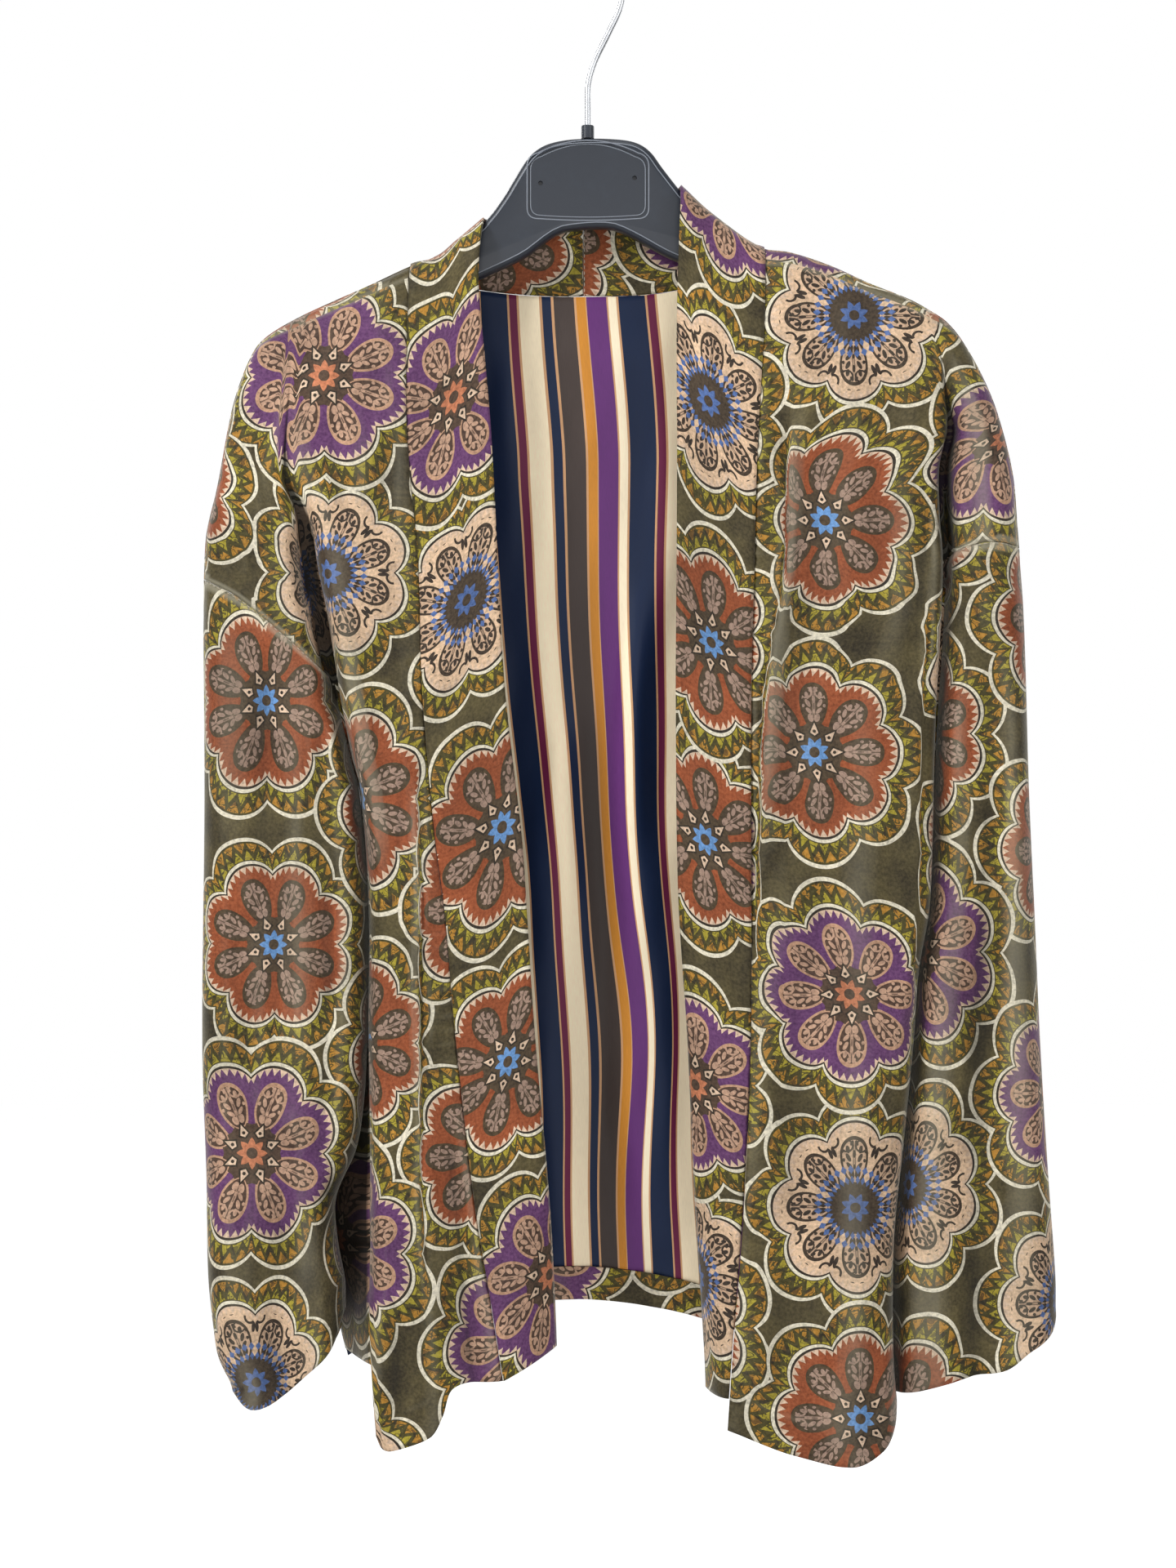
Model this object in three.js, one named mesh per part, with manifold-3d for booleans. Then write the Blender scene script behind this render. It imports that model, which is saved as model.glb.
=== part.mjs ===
// A velvet kaftan jacket, open at the front, hanging on its hanger.
// Millimetres, +Z up, front towards -Y. Left and right are the wearer's, so the right side
// lies at -X. Heights are drops below the origin, which is the inside top of the hook.

import * as THREE from "three";
import { mergeVertices } from "three/addons/utils/BufferGeometryUtils.js";
import Module from "manifold-3d";

const panelThickness = 2;
const bandThickness = 3;
const liningThickness = 1;
const facingThickness = 1.4;
const seamGap = 0.4; // between two pieces that are sewn edge to edge
const underarmNotch = 2.8; // how far the sleeve's seam starts outside the underarm
const underarmEase = 2.4; // extra room below that seam where it nears the underarm
const liningEase = 0.9; // how much looser the layers inside the back hang than its folds
const layGap = 0.3; // between two pieces that lie on each other
const shoulderRound = 16; // reach of the soft round over shoulder, overarm and sleeve edge
const creaseRound = 14; // reach of the soft round beside an armhole crease
const edgeDepth = 0.25; // half depth where the front and back sheets meet
const closestPinch = 0.9; // most that the sheets draw together above the underarm
const foldFade = 60; // length over which a fold rises and dies away
const hemReach = 740; // a fold whose line ends lower than this runs on to the hem
const levelBreak = 6; // how much higher the chest line sits at the band than at the underarm
const hemStart = 0.5; // how far above the back's hem edge its turned-up strip starts
const liningDrop = 3; // how far below the neck seam the lining starts
const centreBack = -2.7; // X of the band's centre back seam

const hangerThickness = 12;
const hangerBevel = 4;
const hangerClearance = 1.3;
const wireRadius = 1.8;
const loopRadius = 22;

const cloth = { color: 0x52482f, roughness: 0.85, metalness: 0 };
const bandCloth = { color: 0x5a4a38, roughness: 0.85, metalness: 0 };
const satin = { color: 0x6d5a66, roughness: 0.45, metalness: 0 };
const slate = { color: 0x3a4049, roughness: 0.35, metalness: 0 };
const steel = { color: 0xc8cacd, roughness: 0.2, metalness: 1 };

const lerp = (a, b, t) => a + (b - a) * t;
const clamp = (value) => Math.min(Math.max(value, 0), 1);
const ease = (from, to, value) => {
  const t = clamp((value - from) / (to - from));
  return t * t * (3 - 2 * t);
};
const evenly = (count) => Array.from({ length: count + 1 }, (_, i) => i / count);
const roll = (t) => Math.sqrt(1 - (1 - clamp(t)) ** 2); // quarter round, 0 at the edge
const table = (columns, rows) =>
  rows.map((row) => Object.fromEntries(columns.map((name, i) => [name, row[i]])));

// Smooth value of one column of a table at a value of another column.
function sample(rows, by, at, of) {
  const last = rows.length - 1;
  if (at <= rows[0][by]) return rows[0][of];
  if (at >= rows[last][by]) return rows[last][of];
  let i = 0;
  while (rows[i + 1][by] < at) i += 1;
  const slope = (k) => {
    const before = rows[Math.max(k - 1, 0)];
    const after = rows[Math.min(k + 1, last)];
    return (after[of] - before[of]) / (after[by] - before[by]);
  };
  const span = rows[i + 1][by] - rows[i][by];
  const t = (at - rows[i][by]) / span;
  const blend = t * t * (3 - 2 * t);
  const tangents = span * t * (1 - t) * (slope(i) * (1 - t) - slope(i + 1) * t);
  return lerp(rows[i][of], rows[i + 1][of], blend) + tangents;
}

// A path in the hanging plane: rows with x and drop, and run, the length so far.
function path(rows) {
  let run = 0;
  return rows.map((row, i) => {
    if (i > 0) run += Math.hypot(row.x - rows[i - 1].x, row.drop - rows[i - 1].drop);
    return { ...row, run };
  });
}

const runOf = (rows, mark) => rows.find((row) => row.mark === mark).run;
const onPath = (rows, run) => [sample(rows, "run", run, "x"), sample(rows, "run", run, "drop")];

// Shoulder and overarm outline of each side, from the band's free edge to the sleeve seam.
const outline = {
  right: path(
    table(
      ["mark", "x", "drop"],
      [
        ["free", -58.0, 162.2],
        ["", -72.3, 174.4],
        ["", -84.2, 184.0],
        ["neck", -98.3, 189.0],
        ["", -123.8, 200.8],
        ["", -139.7, 207.7],
        ["creaseTop", -161.0, 217.5],
        ["", -177.0, 226.8],
        ["tip", -185.0, 234.5],
        ["", -192.9, 251.3],
        ["", -198.8, 270.9],
        ["", -206.6, 312.3],
        ["", -212.5, 338.2],
        ["sleeveSeam", -213.9, 363.7],
      ],
    ),
  ),
  left: path(
    table(
      ["mark", "x", "drop"],
      [
        ["free", 51.6, 144.2],
        ["", 66.0, 158.1],
        ["", 89.2, 175.4],
        ["neck", 98.3, 179.5],
        ["", 112.4, 181.3],
        ["", 134.7, 188.6],
        ["", 157.0, 198.6],
        ["", 179.7, 207.7],
        ["creaseTop", 190.0, 213.4],
        ["", 199.7, 219.9],
        ["tip", 208.5, 230.5],
        ["", 220.2, 251.3],
        ["", 228.4, 271.8],
        ["", 236.6, 304.6],
        ["", 239.3, 334.6],
        ["sleeveSeam", 240.2, 346.4],
      ],
    ),
  ),
};

// Armhole crease, which below the underarm is the body's side seam. Pinch is how far the
// front and back sheets draw together there.
const crease = {
  right: table(
    ["drop", "x", "pinch"],
    [
      [217.5, -161.0, 0],
      [262.0, -165.0, 0],
      [308.2, -166.1, 0.12],
      [328.7, -158.3, 0.35],
      [356.9, -154.7, 0.6],
      [384.7, -149.2, 0.78],
      [421.0, -142.4, 0.9],
      [461.6, -132.9, 1],
      [480.7, -127.4, 1],
      [546.2, -121.9, 1],
      [612.0, -121.9, 1],
      [681.0, -121.0, 1],
      [754.0, -121.5, 1],
      [775.0, -127.0, 1],
      [799.0, -134.0, 1],
    ],
  ),
  left: table(
    ["drop", "x", "pinch"],
    [
      [213.4, 190.0, 0],
      [261.8, 197.9, 0.15],
      [281.8, 200.7, 0.4],
      [303.2, 197.5, 0.62],
      [330.0, 198.0, 0.8],
      [352.0, 199.6, 0.9],
      [384.7, 198.4, 1],
      [448.8, 194.3, 1],
      [541.2, 190.2, 1],
      [581.7, 183.4, 1],
      [620.3, 180.6, 1],
      [675.4, 175.2, 1],
      [730.9, 169.7, 1],
      [790.0, 169.3, 1],
      [818.0, 171.0, 1],
    ],
  ),
};

const underarm = { right: 421.0, left: 352.0 };

// The front band's two edges: the seam to the front panel, and the free front edge.
const bandEdges = {
  right: table(
    ["drop", "seam", "free", "curl"],
    [
      [162.2, -98.3, -58.0, 0],
      [197.7, -98.8, -60.5, 0],
      [241.0, -100.1, -57.0, 0],
      [286.4, -99.5, -53.2, 0],
      [357.8, -93.3, -49.5, 0],
      [427.4, -91.0, -45.5, 0],
      [506.6, -84.0, -36.4, 0],
      [550.3, -78.3, -33.5, 2],
      [612.2, -73.0, -29.6, 5],
      [704.5, -62.5, -21.8, 12],
      [760.0, -53.5, -18.8, 18],
      [804.2, -46.4, -17.3, 22],
    ],
  ),
  left: table(
    ["drop", "seam", "free", "curl"],
    [
      [144.2, 98.3, 51.6, 0],
      [220.9, 97.4, 49.1, 0],
      [294.1, 93.3, 49.1, 0],
      [375.6, 91.0, 48.6, 0],
      [427.4, 89.6, 48.2, 0],
      [537.5, 89.6, 49.6, 2],
      [620.3, 89.2, 55.1, 9],
      [703.2, 85.5, 59.2, 18],
      [794.2, 78.7, 65.2, 28],
      [831.0, 76.2, 66.4, 30],
    ],
  ),
};

// Lower ends of the band, seam edge and free edge.
const bandHem = { right: { seam: 804.2, free: 788.0 }, left: { seam: 814.0, free: 812.0 } };

// Half depth of the hanging cloth, front sheet and back sheet.
const hangDepth = table(
  ["drop", "front", "back"],
  [
    [140, 17, 17],
    [215, 18, 18],
    [300, 23, 21],
    [420, 28, 24],
    [600, 32, 27],
    [860, 36, 29],
  ],
);

// Largest folds: ridges above zero height, troughs below it, fading out at both ends.
const foldLines = [
  {
    sheet: "front",
    height: 5,
    width: 7,
    line: table(["drop", "x"], [[270, 111], [332, 109.2], [390, 104.2], [441, 100.6], [505, 96]]),
  },
  {
    sheet: "front",
    height: -4,
    width: 8,
    line: table(["drop", "x"], [[380, 182], [440, 186], [500, 184], [620, 168]]),
  },
  {
    sheet: "front",
    height: 5,
    width: 9,
    line: table(["drop", "x"], [[470, -92], [560, -91], [691, -90], [760, -86], [842, -84]]),
  },
  {
    sheet: "front",
    height: -4,
    width: 8,
    line: table(["drop", "x"], [[640, -80], [740, -72], [808, -64]]),
  },
  {
    sheet: "front",
    height: 4,
    width: 14,
    line: table(["drop", "x"], [[480, 150], [640, 143], [850, 146]]),
  },
  {
    sheet: "back",
    height: 5,
    width: 16,
    line: table(["drop", "x"], [[300, -92], [560, -78], [770, -70]]),
  },
  {
    sheet: "back",
    height: -4,
    width: 14,
    line: table(["drop", "x"], [[420, -30], [600, -26], [775, -20]]),
  },
  {
    sheet: "back",
    height: 5,
    width: 16,
    line: table(["drop", "x"], [[300, 96], [520, 84], [790, 72]]),
  },
];

// Sleeve seam across the drop shoulder, from the underarm out to the overarm.
const sleeveSeam = {
  right: path(
    table(
      ["x", "drop"],
      [[-142.4, 421.0], [-161.1, 401.0], [-178.8, 385.6], [-192.9, 374.6], [-213.9, 363.7]],
    ),
  ),
  left: path(table(["x", "drop"], [[199.6, 352.0], [210.0, 346.5], [223.0, 344.2], [240.2, 346.4]])),
};

// Outer edge and inner edge of each sleeve, and its cuff edge from inner to outer side.
const sleeveOuter = {
  right: table(
    ["drop", "x"],
    [
      [363.7, -213.9],
      [480.0, -213.0],
      [623.0, -214.3],
      [696.0, -212.0],
      [750.0, -211.0],
      [780.0, -208.0],
      [796.0, -205.2],
      [811.4, -197.5],
    ],
  ),
  left: table(
    ["drop", "x"],
    [
      [346.4, 240.2],
      [400.0, 242.6],
      [480.0, 244.8],
      [550.0, 248.0],
      [623.0, 251.2],
      [696.0, 255.7],
      [750.0, 259.6],
      [772.0, 259.8],
    ],
  ),
};
const sleeveInner = {
  right: table(
    ["drop", "x"],
    [
      [421.0, -145.2],
      [461.6, -136.4],
      [480.7, -131.2],
      [546.2, -125.4],
      [612.0, -125.6],
      [650.0, -128.0],
      [680.0, -132.5],
      [707.3, -143.8],
      [729.6, -143.3],
      [754.0, -139.0],
      [768.7, -138.6],
    ],
  ),
  left: table(
    ["drop", "x"],
    [
      [352.0, 202.6],
      [384.7, 201.9],
      [448.8, 197.8],
      [541.2, 193.7],
      [581.7, 187.0],
      [620.3, 184.1],
      [675.4, 178.8],
      [730.9, 173.4],
      [790.0, 173.0],
      [814.2, 173.4],
    ],
  ),
};
const cuff = {
  right: path(
    table(
      ["x", "drop"],
      [
        [-138.6, 768.7],
        [-145.1, 789.6],
        [-155.6, 802.3],
        [-172.9, 818.3],
        [-185.6, 821.5],
        [-197.5, 811.4],
      ],
    ),
  ),
  left: path(
    table(
      ["x", "drop"],
      [[173.4, 814.2], [212.0, 803.7], [230.2, 799.6], [241.2, 791.4], [255.3, 781.0], [259.8, 772.0]],
    ),
  ),
};

// Hem edges of the fronts, from the band's seam out to the side seam, and of the back.
const frontHem = {
  right: path(
    table(
      ["x", "drop"],
      [
        [-46.4, 804.2],
        [-73.3, 807.8],
        [-79.5, 823.0],
        [-86.0, 834.0],
        [-107.4, 841.5],
        [-113.5, 838.0],
        [-118.0, 818.0],
        [-134.0, 799.0],
      ],
    ),
  ),
  left: path(
    table(
      ["x", "drop"],
      [[76.2, 831.0], [110.0, 844.0], [145.0, 850.6], [160.6, 842.8], [168.5, 830.6], [171.0, 818.0]],
    ),
  ),
};
const backHem = path(
  table(
    ["x", "drop"],
    [[-134.0, 799.0], [-90.0, 778.0], [-17.0, 768.5], [51.0, 776.0], [120.0, 800.0], [171.0, 818.0]],
  ),
);
const hemTurn = 19; // height of the turned-up strip inside the back hem
const hemSpan = [38, 296]; // stretch of the back hem, as a length along it, that is turned up
const liningTop = [-76, 72]; // X of the lining's two upper corners, at the back neck
const liningSteps = 20;

// Back neck: the band's seam and its free edge, from the right shoulder to the left.
const backNeck = table(
  ["x", "seam"],
  [[-98.3, 189.0], [-80, 196.0], [-45, 202.0], [-2.7, 203.5], [45, 201.0], [80, 190.5], [98.3, 179.5]],
);
const backBandTop = table(
  ["x", "free"],
  [[-58.0, 162.2], [-40, 157.5], [-2.7, 155.0], [30, 150.0], [51.6, 144.2]],
);

// A sleeve grows slimmer than the body from its top to its cuff, where share is what is left.
const sleeveSlim = { from: 350, to: 820, share: 0.75 };

// The trough down each sleeve: X at its top and bottom. It is shallower on the back.
const sleeveTrough = {
  right: { at: [-178, -172], width: 12, depth: 5 },
  left: { at: [221, 214], width: 11, depth: 6 },
};
const troughDrops = { top: 360, bottom: 760, rise: [350, 450], backShare: 0.7 };
const underarmBlend = { seam: 0.45, edge: 0.05 }; // shares of seam and inner edge that ease into it

// Hanger body below its hook, and the recessed plate on its front.
const hangerTop = table(
  ["x", "drop"],
  [
    [-55.0, 162.6],
    [-49.5, 154.4],
    [-42.3, 138.0],
    [-35.0, 129.0],
    [-25.9, 119.6],
    [0.0, 118.2],
    [27.3, 119.4],
    [39.1, 131.2],
    [48.6, 144.2],
  ],
);
const hangerBottom = table(
  ["x", "drop"],
  [
    [-172.0, 249.0],
    [-61.9, 197.2],
    [-35.0, 184.5],
    [-21.4, 174.4],
    [-13.2, 170.2],
    [11.4, 168.5],
    [22.8, 172.6],
    [47.8, 185.8],
    [196.0, 242.0],
  ],
);
const armSpan = { fromTip: 5, fromFree: 4 }; // where an arm starts and ends along the shoulder
const hangerSteps = { arm: 7, neck: 18, under: 22 };
const recess = {
  halfWidth: 32.8,
  top: 121.8,
  shoulder: 129.5,
  bottom: 162.5,
  corner: 4,
  slope: 1, // fall of the top edge within a corner
  sag: 2, // bow of the bottom edge
  depth: 0.8,
};
const pinHoles = {
  radius: 1.3,
  depth: 3,
  sides: 12,
  at: table(["x", "drop"], [[-26.4, 143.6], [25.9, 140.8]]),
};
const ferrule = { x: -0.2, top: 110.7, bottom: 117.9, outer: 3.6, inner: 2.2, edge: 0.5, sides: 20 };

// Centre line of the hook's wire from the ferrule up to its loop, which turns to the right side.
const hookStem = table(
  ["x", "drop"],
  [[-0.2, 117.4], [-0.2, 104.0], [0.0, 88.0], [3.6, 75.0], [11.4, 58.9], [18.0, 44.0]],
);
const hookTurn = { x: -0.9, from: -8, to: 205 }; // degrees from the left side over the top
const hookSteps = { loop: 12, along: 48, round: 5 };

const sideSign = { right: -1, left: 1 };
const outlineSteps = 60; // pieces that the outline is cut into to measure how far off it is
const outlineRuns = {};
const outlinePoints = {};
for (const side of ["right", "left"]) {
  const rows = outline[side];
  const total = rows[rows.length - 1].run;
  outlineRuns[side] = Object.fromEntries(
    ["free", "neck", "creaseTop", "tip", "sleeveSeam"].map((mark) => [mark, runOf(rows, mark)]),
  );
  outlinePoints[side] = evenly(outlineSteps).map((t) => onPath(rows, total * t));
}

function outlineDistance(side, x, drop) {
  const points = outlinePoints[side];
  let nearest = Infinity;
  for (let i = 1; i < points.length; i += 1) {
    const [ax, az] = points[i - 1];
    const [bx, bz] = points[i];
    const length2 = (bx - ax) ** 2 + (bz - az) ** 2;
    const t = clamp(((x - ax) * (bx - ax) + (drop - az) * (bz - az)) / length2);
    nearest = Math.min(nearest, Math.hypot(x - lerp(ax, bx, t), drop - lerp(az, bz, t)));
  }
  return nearest;
}

function foldDepth(sheet, x, drop) {
  let depth = 0;
  for (const fold of foldLines) {
    if (fold.sheet !== sheet) continue;
    const first = fold.line[0].drop;
    const last = fold.line[fold.line.length - 1].drop;
    if (drop < first || drop > last + foldFade / 3) continue;
    const across = (x - sample(fold.line, "drop", drop, "x")) / fold.width;
    const fadeIn = ease(first, first + foldFade, drop);
    const fadeOut = last > hemReach ? 1 : 1 - ease(last - foldFade, last, drop);
    depth += fold.height * fadeIn * fadeOut * Math.exp(-across * across);
  }
  return depth;
}

// Half depth of the body's front or back sheet at a place in the hanging plane.
function bodyDepth(sheet, x, drop, below = false) {
  const side = x < centreBack ? "right" : "left";
  const open = roll(outlineDistance(side, x, drop) / shoulderRound);
  const pinch = below ? 1 : Math.min(sample(crease[side], "drop", drop, "pinch"), closestPinch);
  const beside = roll(Math.abs(x - sample(crease[side], "drop", drop, "x")) / creaseRound);
  const calm = open * (1 - pinch * (1 - beside));
  const depth = sample(hangDepth, "drop", drop, sheet) + foldDepth(sheet, x, drop) * beside;
  return Math.max(depth * calm, edgeDepth);
}

const facing = { front: -1, back: 1 };
const bodyPoint = (sheet, [x, drop], below) =>
  new THREE.Vector3(x, facing[sheet] * bodyDepth(sheet, x, drop, below), -drop);

// A point of a four-sided patch between its edges.
function between(edges, u, v) {
  const [top, bottom, start, end] = [edges.top(u), edges.bottom(u), edges.start(v), edges.end(v)];
  const [a, b, c, d] = [edges.top(0), edges.top(1), edges.bottom(0), edges.bottom(1)];
  return [0, 1].map(
    (i) =>
      lerp(top[i], bottom[i], v) +
      lerp(start[i], end[i], u) -
      lerp(lerp(a[i], b[i], u), lerp(c[i], d[i], u), v),
  );
}

const patch = (edges, across, down, place) =>
  down.map((v) => across.map((u) => place(between(edges, u, v))));

// A closed wall around a sheet of grid points, where some places of the grid may be empty.
// Faces look along across x down, or the other way when flipped.
function wall(grid, thickness, { wrap = false, flip = false } = {}) {
  const turn = (i, j) => (wrap ? (j + grid[i].length) % grid[i].length : j);
  const place = (i, j) => (grid[i] === undefined ? undefined : grid[i][turn(i, j)]);
  const index = new Map();
  const outer = [];
  const inner = [];
  grid.forEach((row, i) => {
    row.forEach((point, j) => {
      if (point === undefined) return;
      const across = (place(i, j + 1) ?? point).clone().sub(place(i, j - 1) ?? point);
      const down = (place(i + 1, j) ?? point).clone().sub(place(i - 1, j) ?? point);
      const normal = across.cross(down).normalize().multiplyScalar((flip ? -1 : 1) * thickness * 0.5);
      index.set(`${i},${j}`, outer.length);
      outer.push(point.clone().add(normal));
      inner.push(point.clone().sub(normal));
    });
  });
  const faces = [];
  for (let i = 0; i + 1 < grid.length; i += 1) {
    for (let j = 0; j + (wrap ? 0 : 1) < grid[i].length; j += 1) {
      const places = [[i, j], [i, turn(i, j + 1)], [i + 1, turn(i, j + 1)], [i + 1, j]];
      const [a, b, c, d] = places.map((key) => index.get(key.join(",")));
      if ([a, b, c, d].includes(undefined)) continue;
      faces.push(...(flip ? [[a, c, b], [a, d, c]] : [[a, b, c], [a, c, d]]));
    }
  }
  return closed(outer, inner, faces);
}

// Joins an outer and an inner surface with the same faces by a rim along their free edges.
function closed(outer, inner, faces) {
  const count = outer.length;
  const edges = new Set(faces.flatMap(([a, b, c]) => [`${a},${b}`, `${b},${c}`, `${c},${a}`]));
  const all = [...faces, ...faces.map(([a, b, c]) => [a + count, c + count, b + count])];
  for (const edge of edges) {
    const [p, q] = edge.split(",").map(Number);
    if (edges.has(`${q},${p}`)) continue;
    all.push([q, p, p + count], [q, p + count, q + count]);
  }
  const geometry = new THREE.BufferGeometry();
  const positions = [...outer, ...inner].flatMap((point) => point.toArray());
  geometry.setAttribute("position", new THREE.Float32BufferAttribute(positions, 3));
  geometry.setIndex(all.flat());
  return geometry;
}

const part = new THREE.Group();

function add(name, geometry, look) {
  const mesh = new THREE.Mesh(geometry, new THREE.MeshStandardMaterial(look));
  mesh.name = name;
  part.add(mesh);
  return mesh;
}

// Fractions across and down the patches, closer together where the cloth turns.
const acrossBody = {
  right: [0, 0.12, 0.25, 0.38, 0.5, 0.6, 0.7, 0.82, 0.93, 1],
  left: [0, 0.07, 0.13, 0.19, 0.27, 0.37, 0.47, 0.57, 0.68, 0.79, 0.87, 0.935, 0.98, 1],
};
const acrossShoulder = {
  right: [0, 0.006, 0.024, 0.045, 0.085, 0.13],
  left: [0.78, 0.85, 0.91, 0.955, 0.976, 0.994, 1],
};
const acrossArm = {
  right: [0, 0.025, 0.09, 0.18, 0.34, 0.5, 0.66, 0.8, 0.9, 0.972, 1],
  left: [0, 0.035, 0.13, 0.26, 0.42, 0.56, 0.7, 0.84, 0.96, 1],
};
const downUpper = {
  right: [0, 0.01, 0.037, 0.075, 0.17, 0.28, 0.4, 0.52, 0.63, 0.74, 0.84, 0.93, 1],
  left: [0, 0.014, 0.052, 0.105, 0.22, 0.34, 0.46, 0.58, 0.7, 0.81, 0.91, 1],
};
const downLower = [0.015, 0.05, 0.11, 0.19, 0.28, 0.37, 0.46, 0.55, 0.64, 0.73, 0.81, 0.88, 0.93, 0.965, 1];
const downSleeve = [0, 0.05, 0.12, 0.2, 0.29, 0.38, 0.47, 0.56, 0.65, 0.74, 0.82, 0.89, 0.95, 1];

// Round the back neck, from the top of the shoulder to the centre back.
const alongNeck = [0.025, 0.09, 0.18, 0.3, 0.45, 0.62, 0.8, 1];
const acrossBand = [0, 0.25, 0.5, 0.75, 1];

const pathEdge = (rows) => (u) => onPath(rows, rows[rows.length - 1].run * u);
const straight = (a, b) => (u) => [lerp(a[0], b[0], u), lerp(a[1], b[1], u)];

// Crease or side seam between two drops.
const creaseEdge = (side, from, to) => (v) => {
  const drop = lerp(from, to, v);
  return [sample(crease[side], "drop", drop, "x"), drop];
};

// The panel's edge along the band, half a seam gap outside the seam line.
const bandSeamEdge = (side, from, to) => (v) => {
  const drop = lerp(from, to, v);
  const x = sample(bandEdges[side], "drop", drop, "seam");
  return [x + (sideSign[side] * seamGap) / 2, drop];
};

const outlineEdge = (side, from, to) => {
  const [a, b] = [outlineRuns[side][from], outlineRuns[side][to]];
  return (u) => onPath(outline[side], lerp(a, b, u));
};

// Drop shoulder from the crease out to the overarm, down to the sleeve seam.
function shoulderEdges(side) {
  const seam = sleeveSeam[side];
  const corner = outline[side][outline[side].length - 1];
  const tip = markOf(side, "tip");
  const overarm = [outlineRuns[side].tip, outlineRuns[side].sleeveSeam];
  const lift = seamGap / 2;
  return {
    top: outlineEdge(side, "creaseTop", "tip"),
    bottom: (u) => {
      const [x, drop] = onPath(seam, seam[seam.length - 1].run * u);
      return [x, drop - lift];
    },
    start: creaseEdge(side, crease[side][0].drop, underarm[side] - lift),
    end: (v) => {
      const [x, drop] = onPath(outline[side], lerp(...overarm, v));
      return [x, lerp(drop, drop - lift, v * (corner.drop > tip.drop))];
    },
  };
}

const markOf = (side, mark) => outline[side].find((row) => row.mark === mark);

// Rows of the front panel where they meet the band, which the band shares.
function seamDrops(side) {
  const [neck, chest, hem] = [markOf(side, "neck").drop, underarm[side] - levelBreak, frontHem[side][0].drop];
  return [
    ...downUpper[side].map((v) => lerp(neck, chest, v)),
    ...downLower.map((v) => lerp(chest, hem, v)),
  ];
}

function frontPanel(side) {
  const chest = underarm[side] - levelBreak;
  const neck = markOf(side, "neck");
  const hem = frontHem[side];
  const lowest = hem[hem.length - 1];
  const upper = {
    top: outlineEdge(side, "neck", "creaseTop"),
    bottom: (u) => {
      const from = bandSeamEdge(side, chest, chest)(0);
      const to = creaseEdge(side, underarm[side], underarm[side])(0);
      return straight(from, to)(u);
    },
    start: bandSeamEdge(side, neck.drop, chest),
    end: creaseEdge(side, crease[side][0].drop, underarm[side]),
  };
  const lower = {
    top: upper.bottom,
    bottom: pathEdge(hem),
    start: bandSeamEdge(side, chest, hem[0].drop),
    end: creaseEdge(side, underarm[side], lowest.drop),
  };
  const put = (point) => bodyPoint("front", point);
  const putLower = (point) => bodyPoint("front", point, true);
  const body = patch(upper, acrossBody[side], downUpper[side], put);
  const shoulder = patch(shoulderEdges(side), acrossArm[side], downUpper[side], put);
  const grid = body.map((row, i) => [...row, ...shoulder[i].slice(1)]);
  grid.push(...patch(lower, acrossBody[side], downLower, putLower));
  return wall(grid, panelThickness, { flip: side === "left" });
}

const touching = 0.01; // two places closer than this are the same

// The back is one panel from overarm to overarm, with a body patch between two shoulders.
function backPanel() {
  const tops = { right: crease.right[0], left: crease.left[0] };
  const spread = tops.left.x - tops.right.x;
  const fraction = (x) => (x - tops.right.x) / spread;
  const neckX = Object.fromEntries(["right", "left"].map((side) => [side, markOf(side, "neck").x]));
  const neckColumns = (side) => alongNeck.map((t) => fraction(lerp(neckX[side], centreBack, t)));
  const across = [
    ...acrossShoulder.right,
    fraction(neckX.right),
    ...neckColumns("right"),
    ...neckColumns("left").slice(0, -1).reverse(),
    fraction(neckX.left),
    ...acrossShoulder.left,
  ];
  const lowestOf = (side) => (side === "right" ? backHem[0].drop : backHem[backHem.length - 1].drop);
  const shoulderLine = (u) => {
    const x = tops.right.x + spread * u;
    const inNeck = x > neckX.right - touching && x < neckX.left + touching;
    if (inNeck) return [x, sample(backNeck, "x", x, "seam") + seamGap / 2];
    const side = x < 0 ? "right" : "left";
    const rows = side === "right" ? [...outline.right].reverse() : outline.left;
    return [x, sample(rows, "x", x, "drop")];
  };
  const chestLine = straight(
    creaseEdge("right", underarm.right, underarm.right)(0),
    creaseEdge("left", underarm.left, underarm.left)(0),
  );
  const upper = {
    top: shoulderLine,
    bottom: chestLine,
    start: creaseEdge("right", tops.right.drop, underarm.right),
    end: creaseEdge("left", tops.left.drop, underarm.left),
  };
  const lower = {
    top: chestLine,
    bottom: pathEdge(backHem),
    start: creaseEdge("right", underarm.right, lowestOf("right")),
    end: creaseEdge("left", underarm.left, lowestOf("left")),
  };
  const down = downUpper.right;
  const put = (point) => bodyPoint("back", point);
  const putLower = (point) => bodyPoint("back", point, true);
  const body = patch(upper, across, down, put);
  const shoulders = Object.fromEntries(
    ["right", "left"].map((side) => [side, patch(shoulderEdges(side), acrossArm[side], down, put)]),
  );
  const arm = shoulders.right[0].length - 1;
  const grid = body.map((row, i) => [
    ...shoulders.right[i].slice(1).reverse(),
    ...row,
    ...shoulders.left[i].slice(1),
  ]);
  for (const row of patch(lower, across, downLower, putLower)) {
    grid.push([...Array(arm).fill(undefined), ...row]);
  }
  return wall(grid, panelThickness);
}

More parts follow.
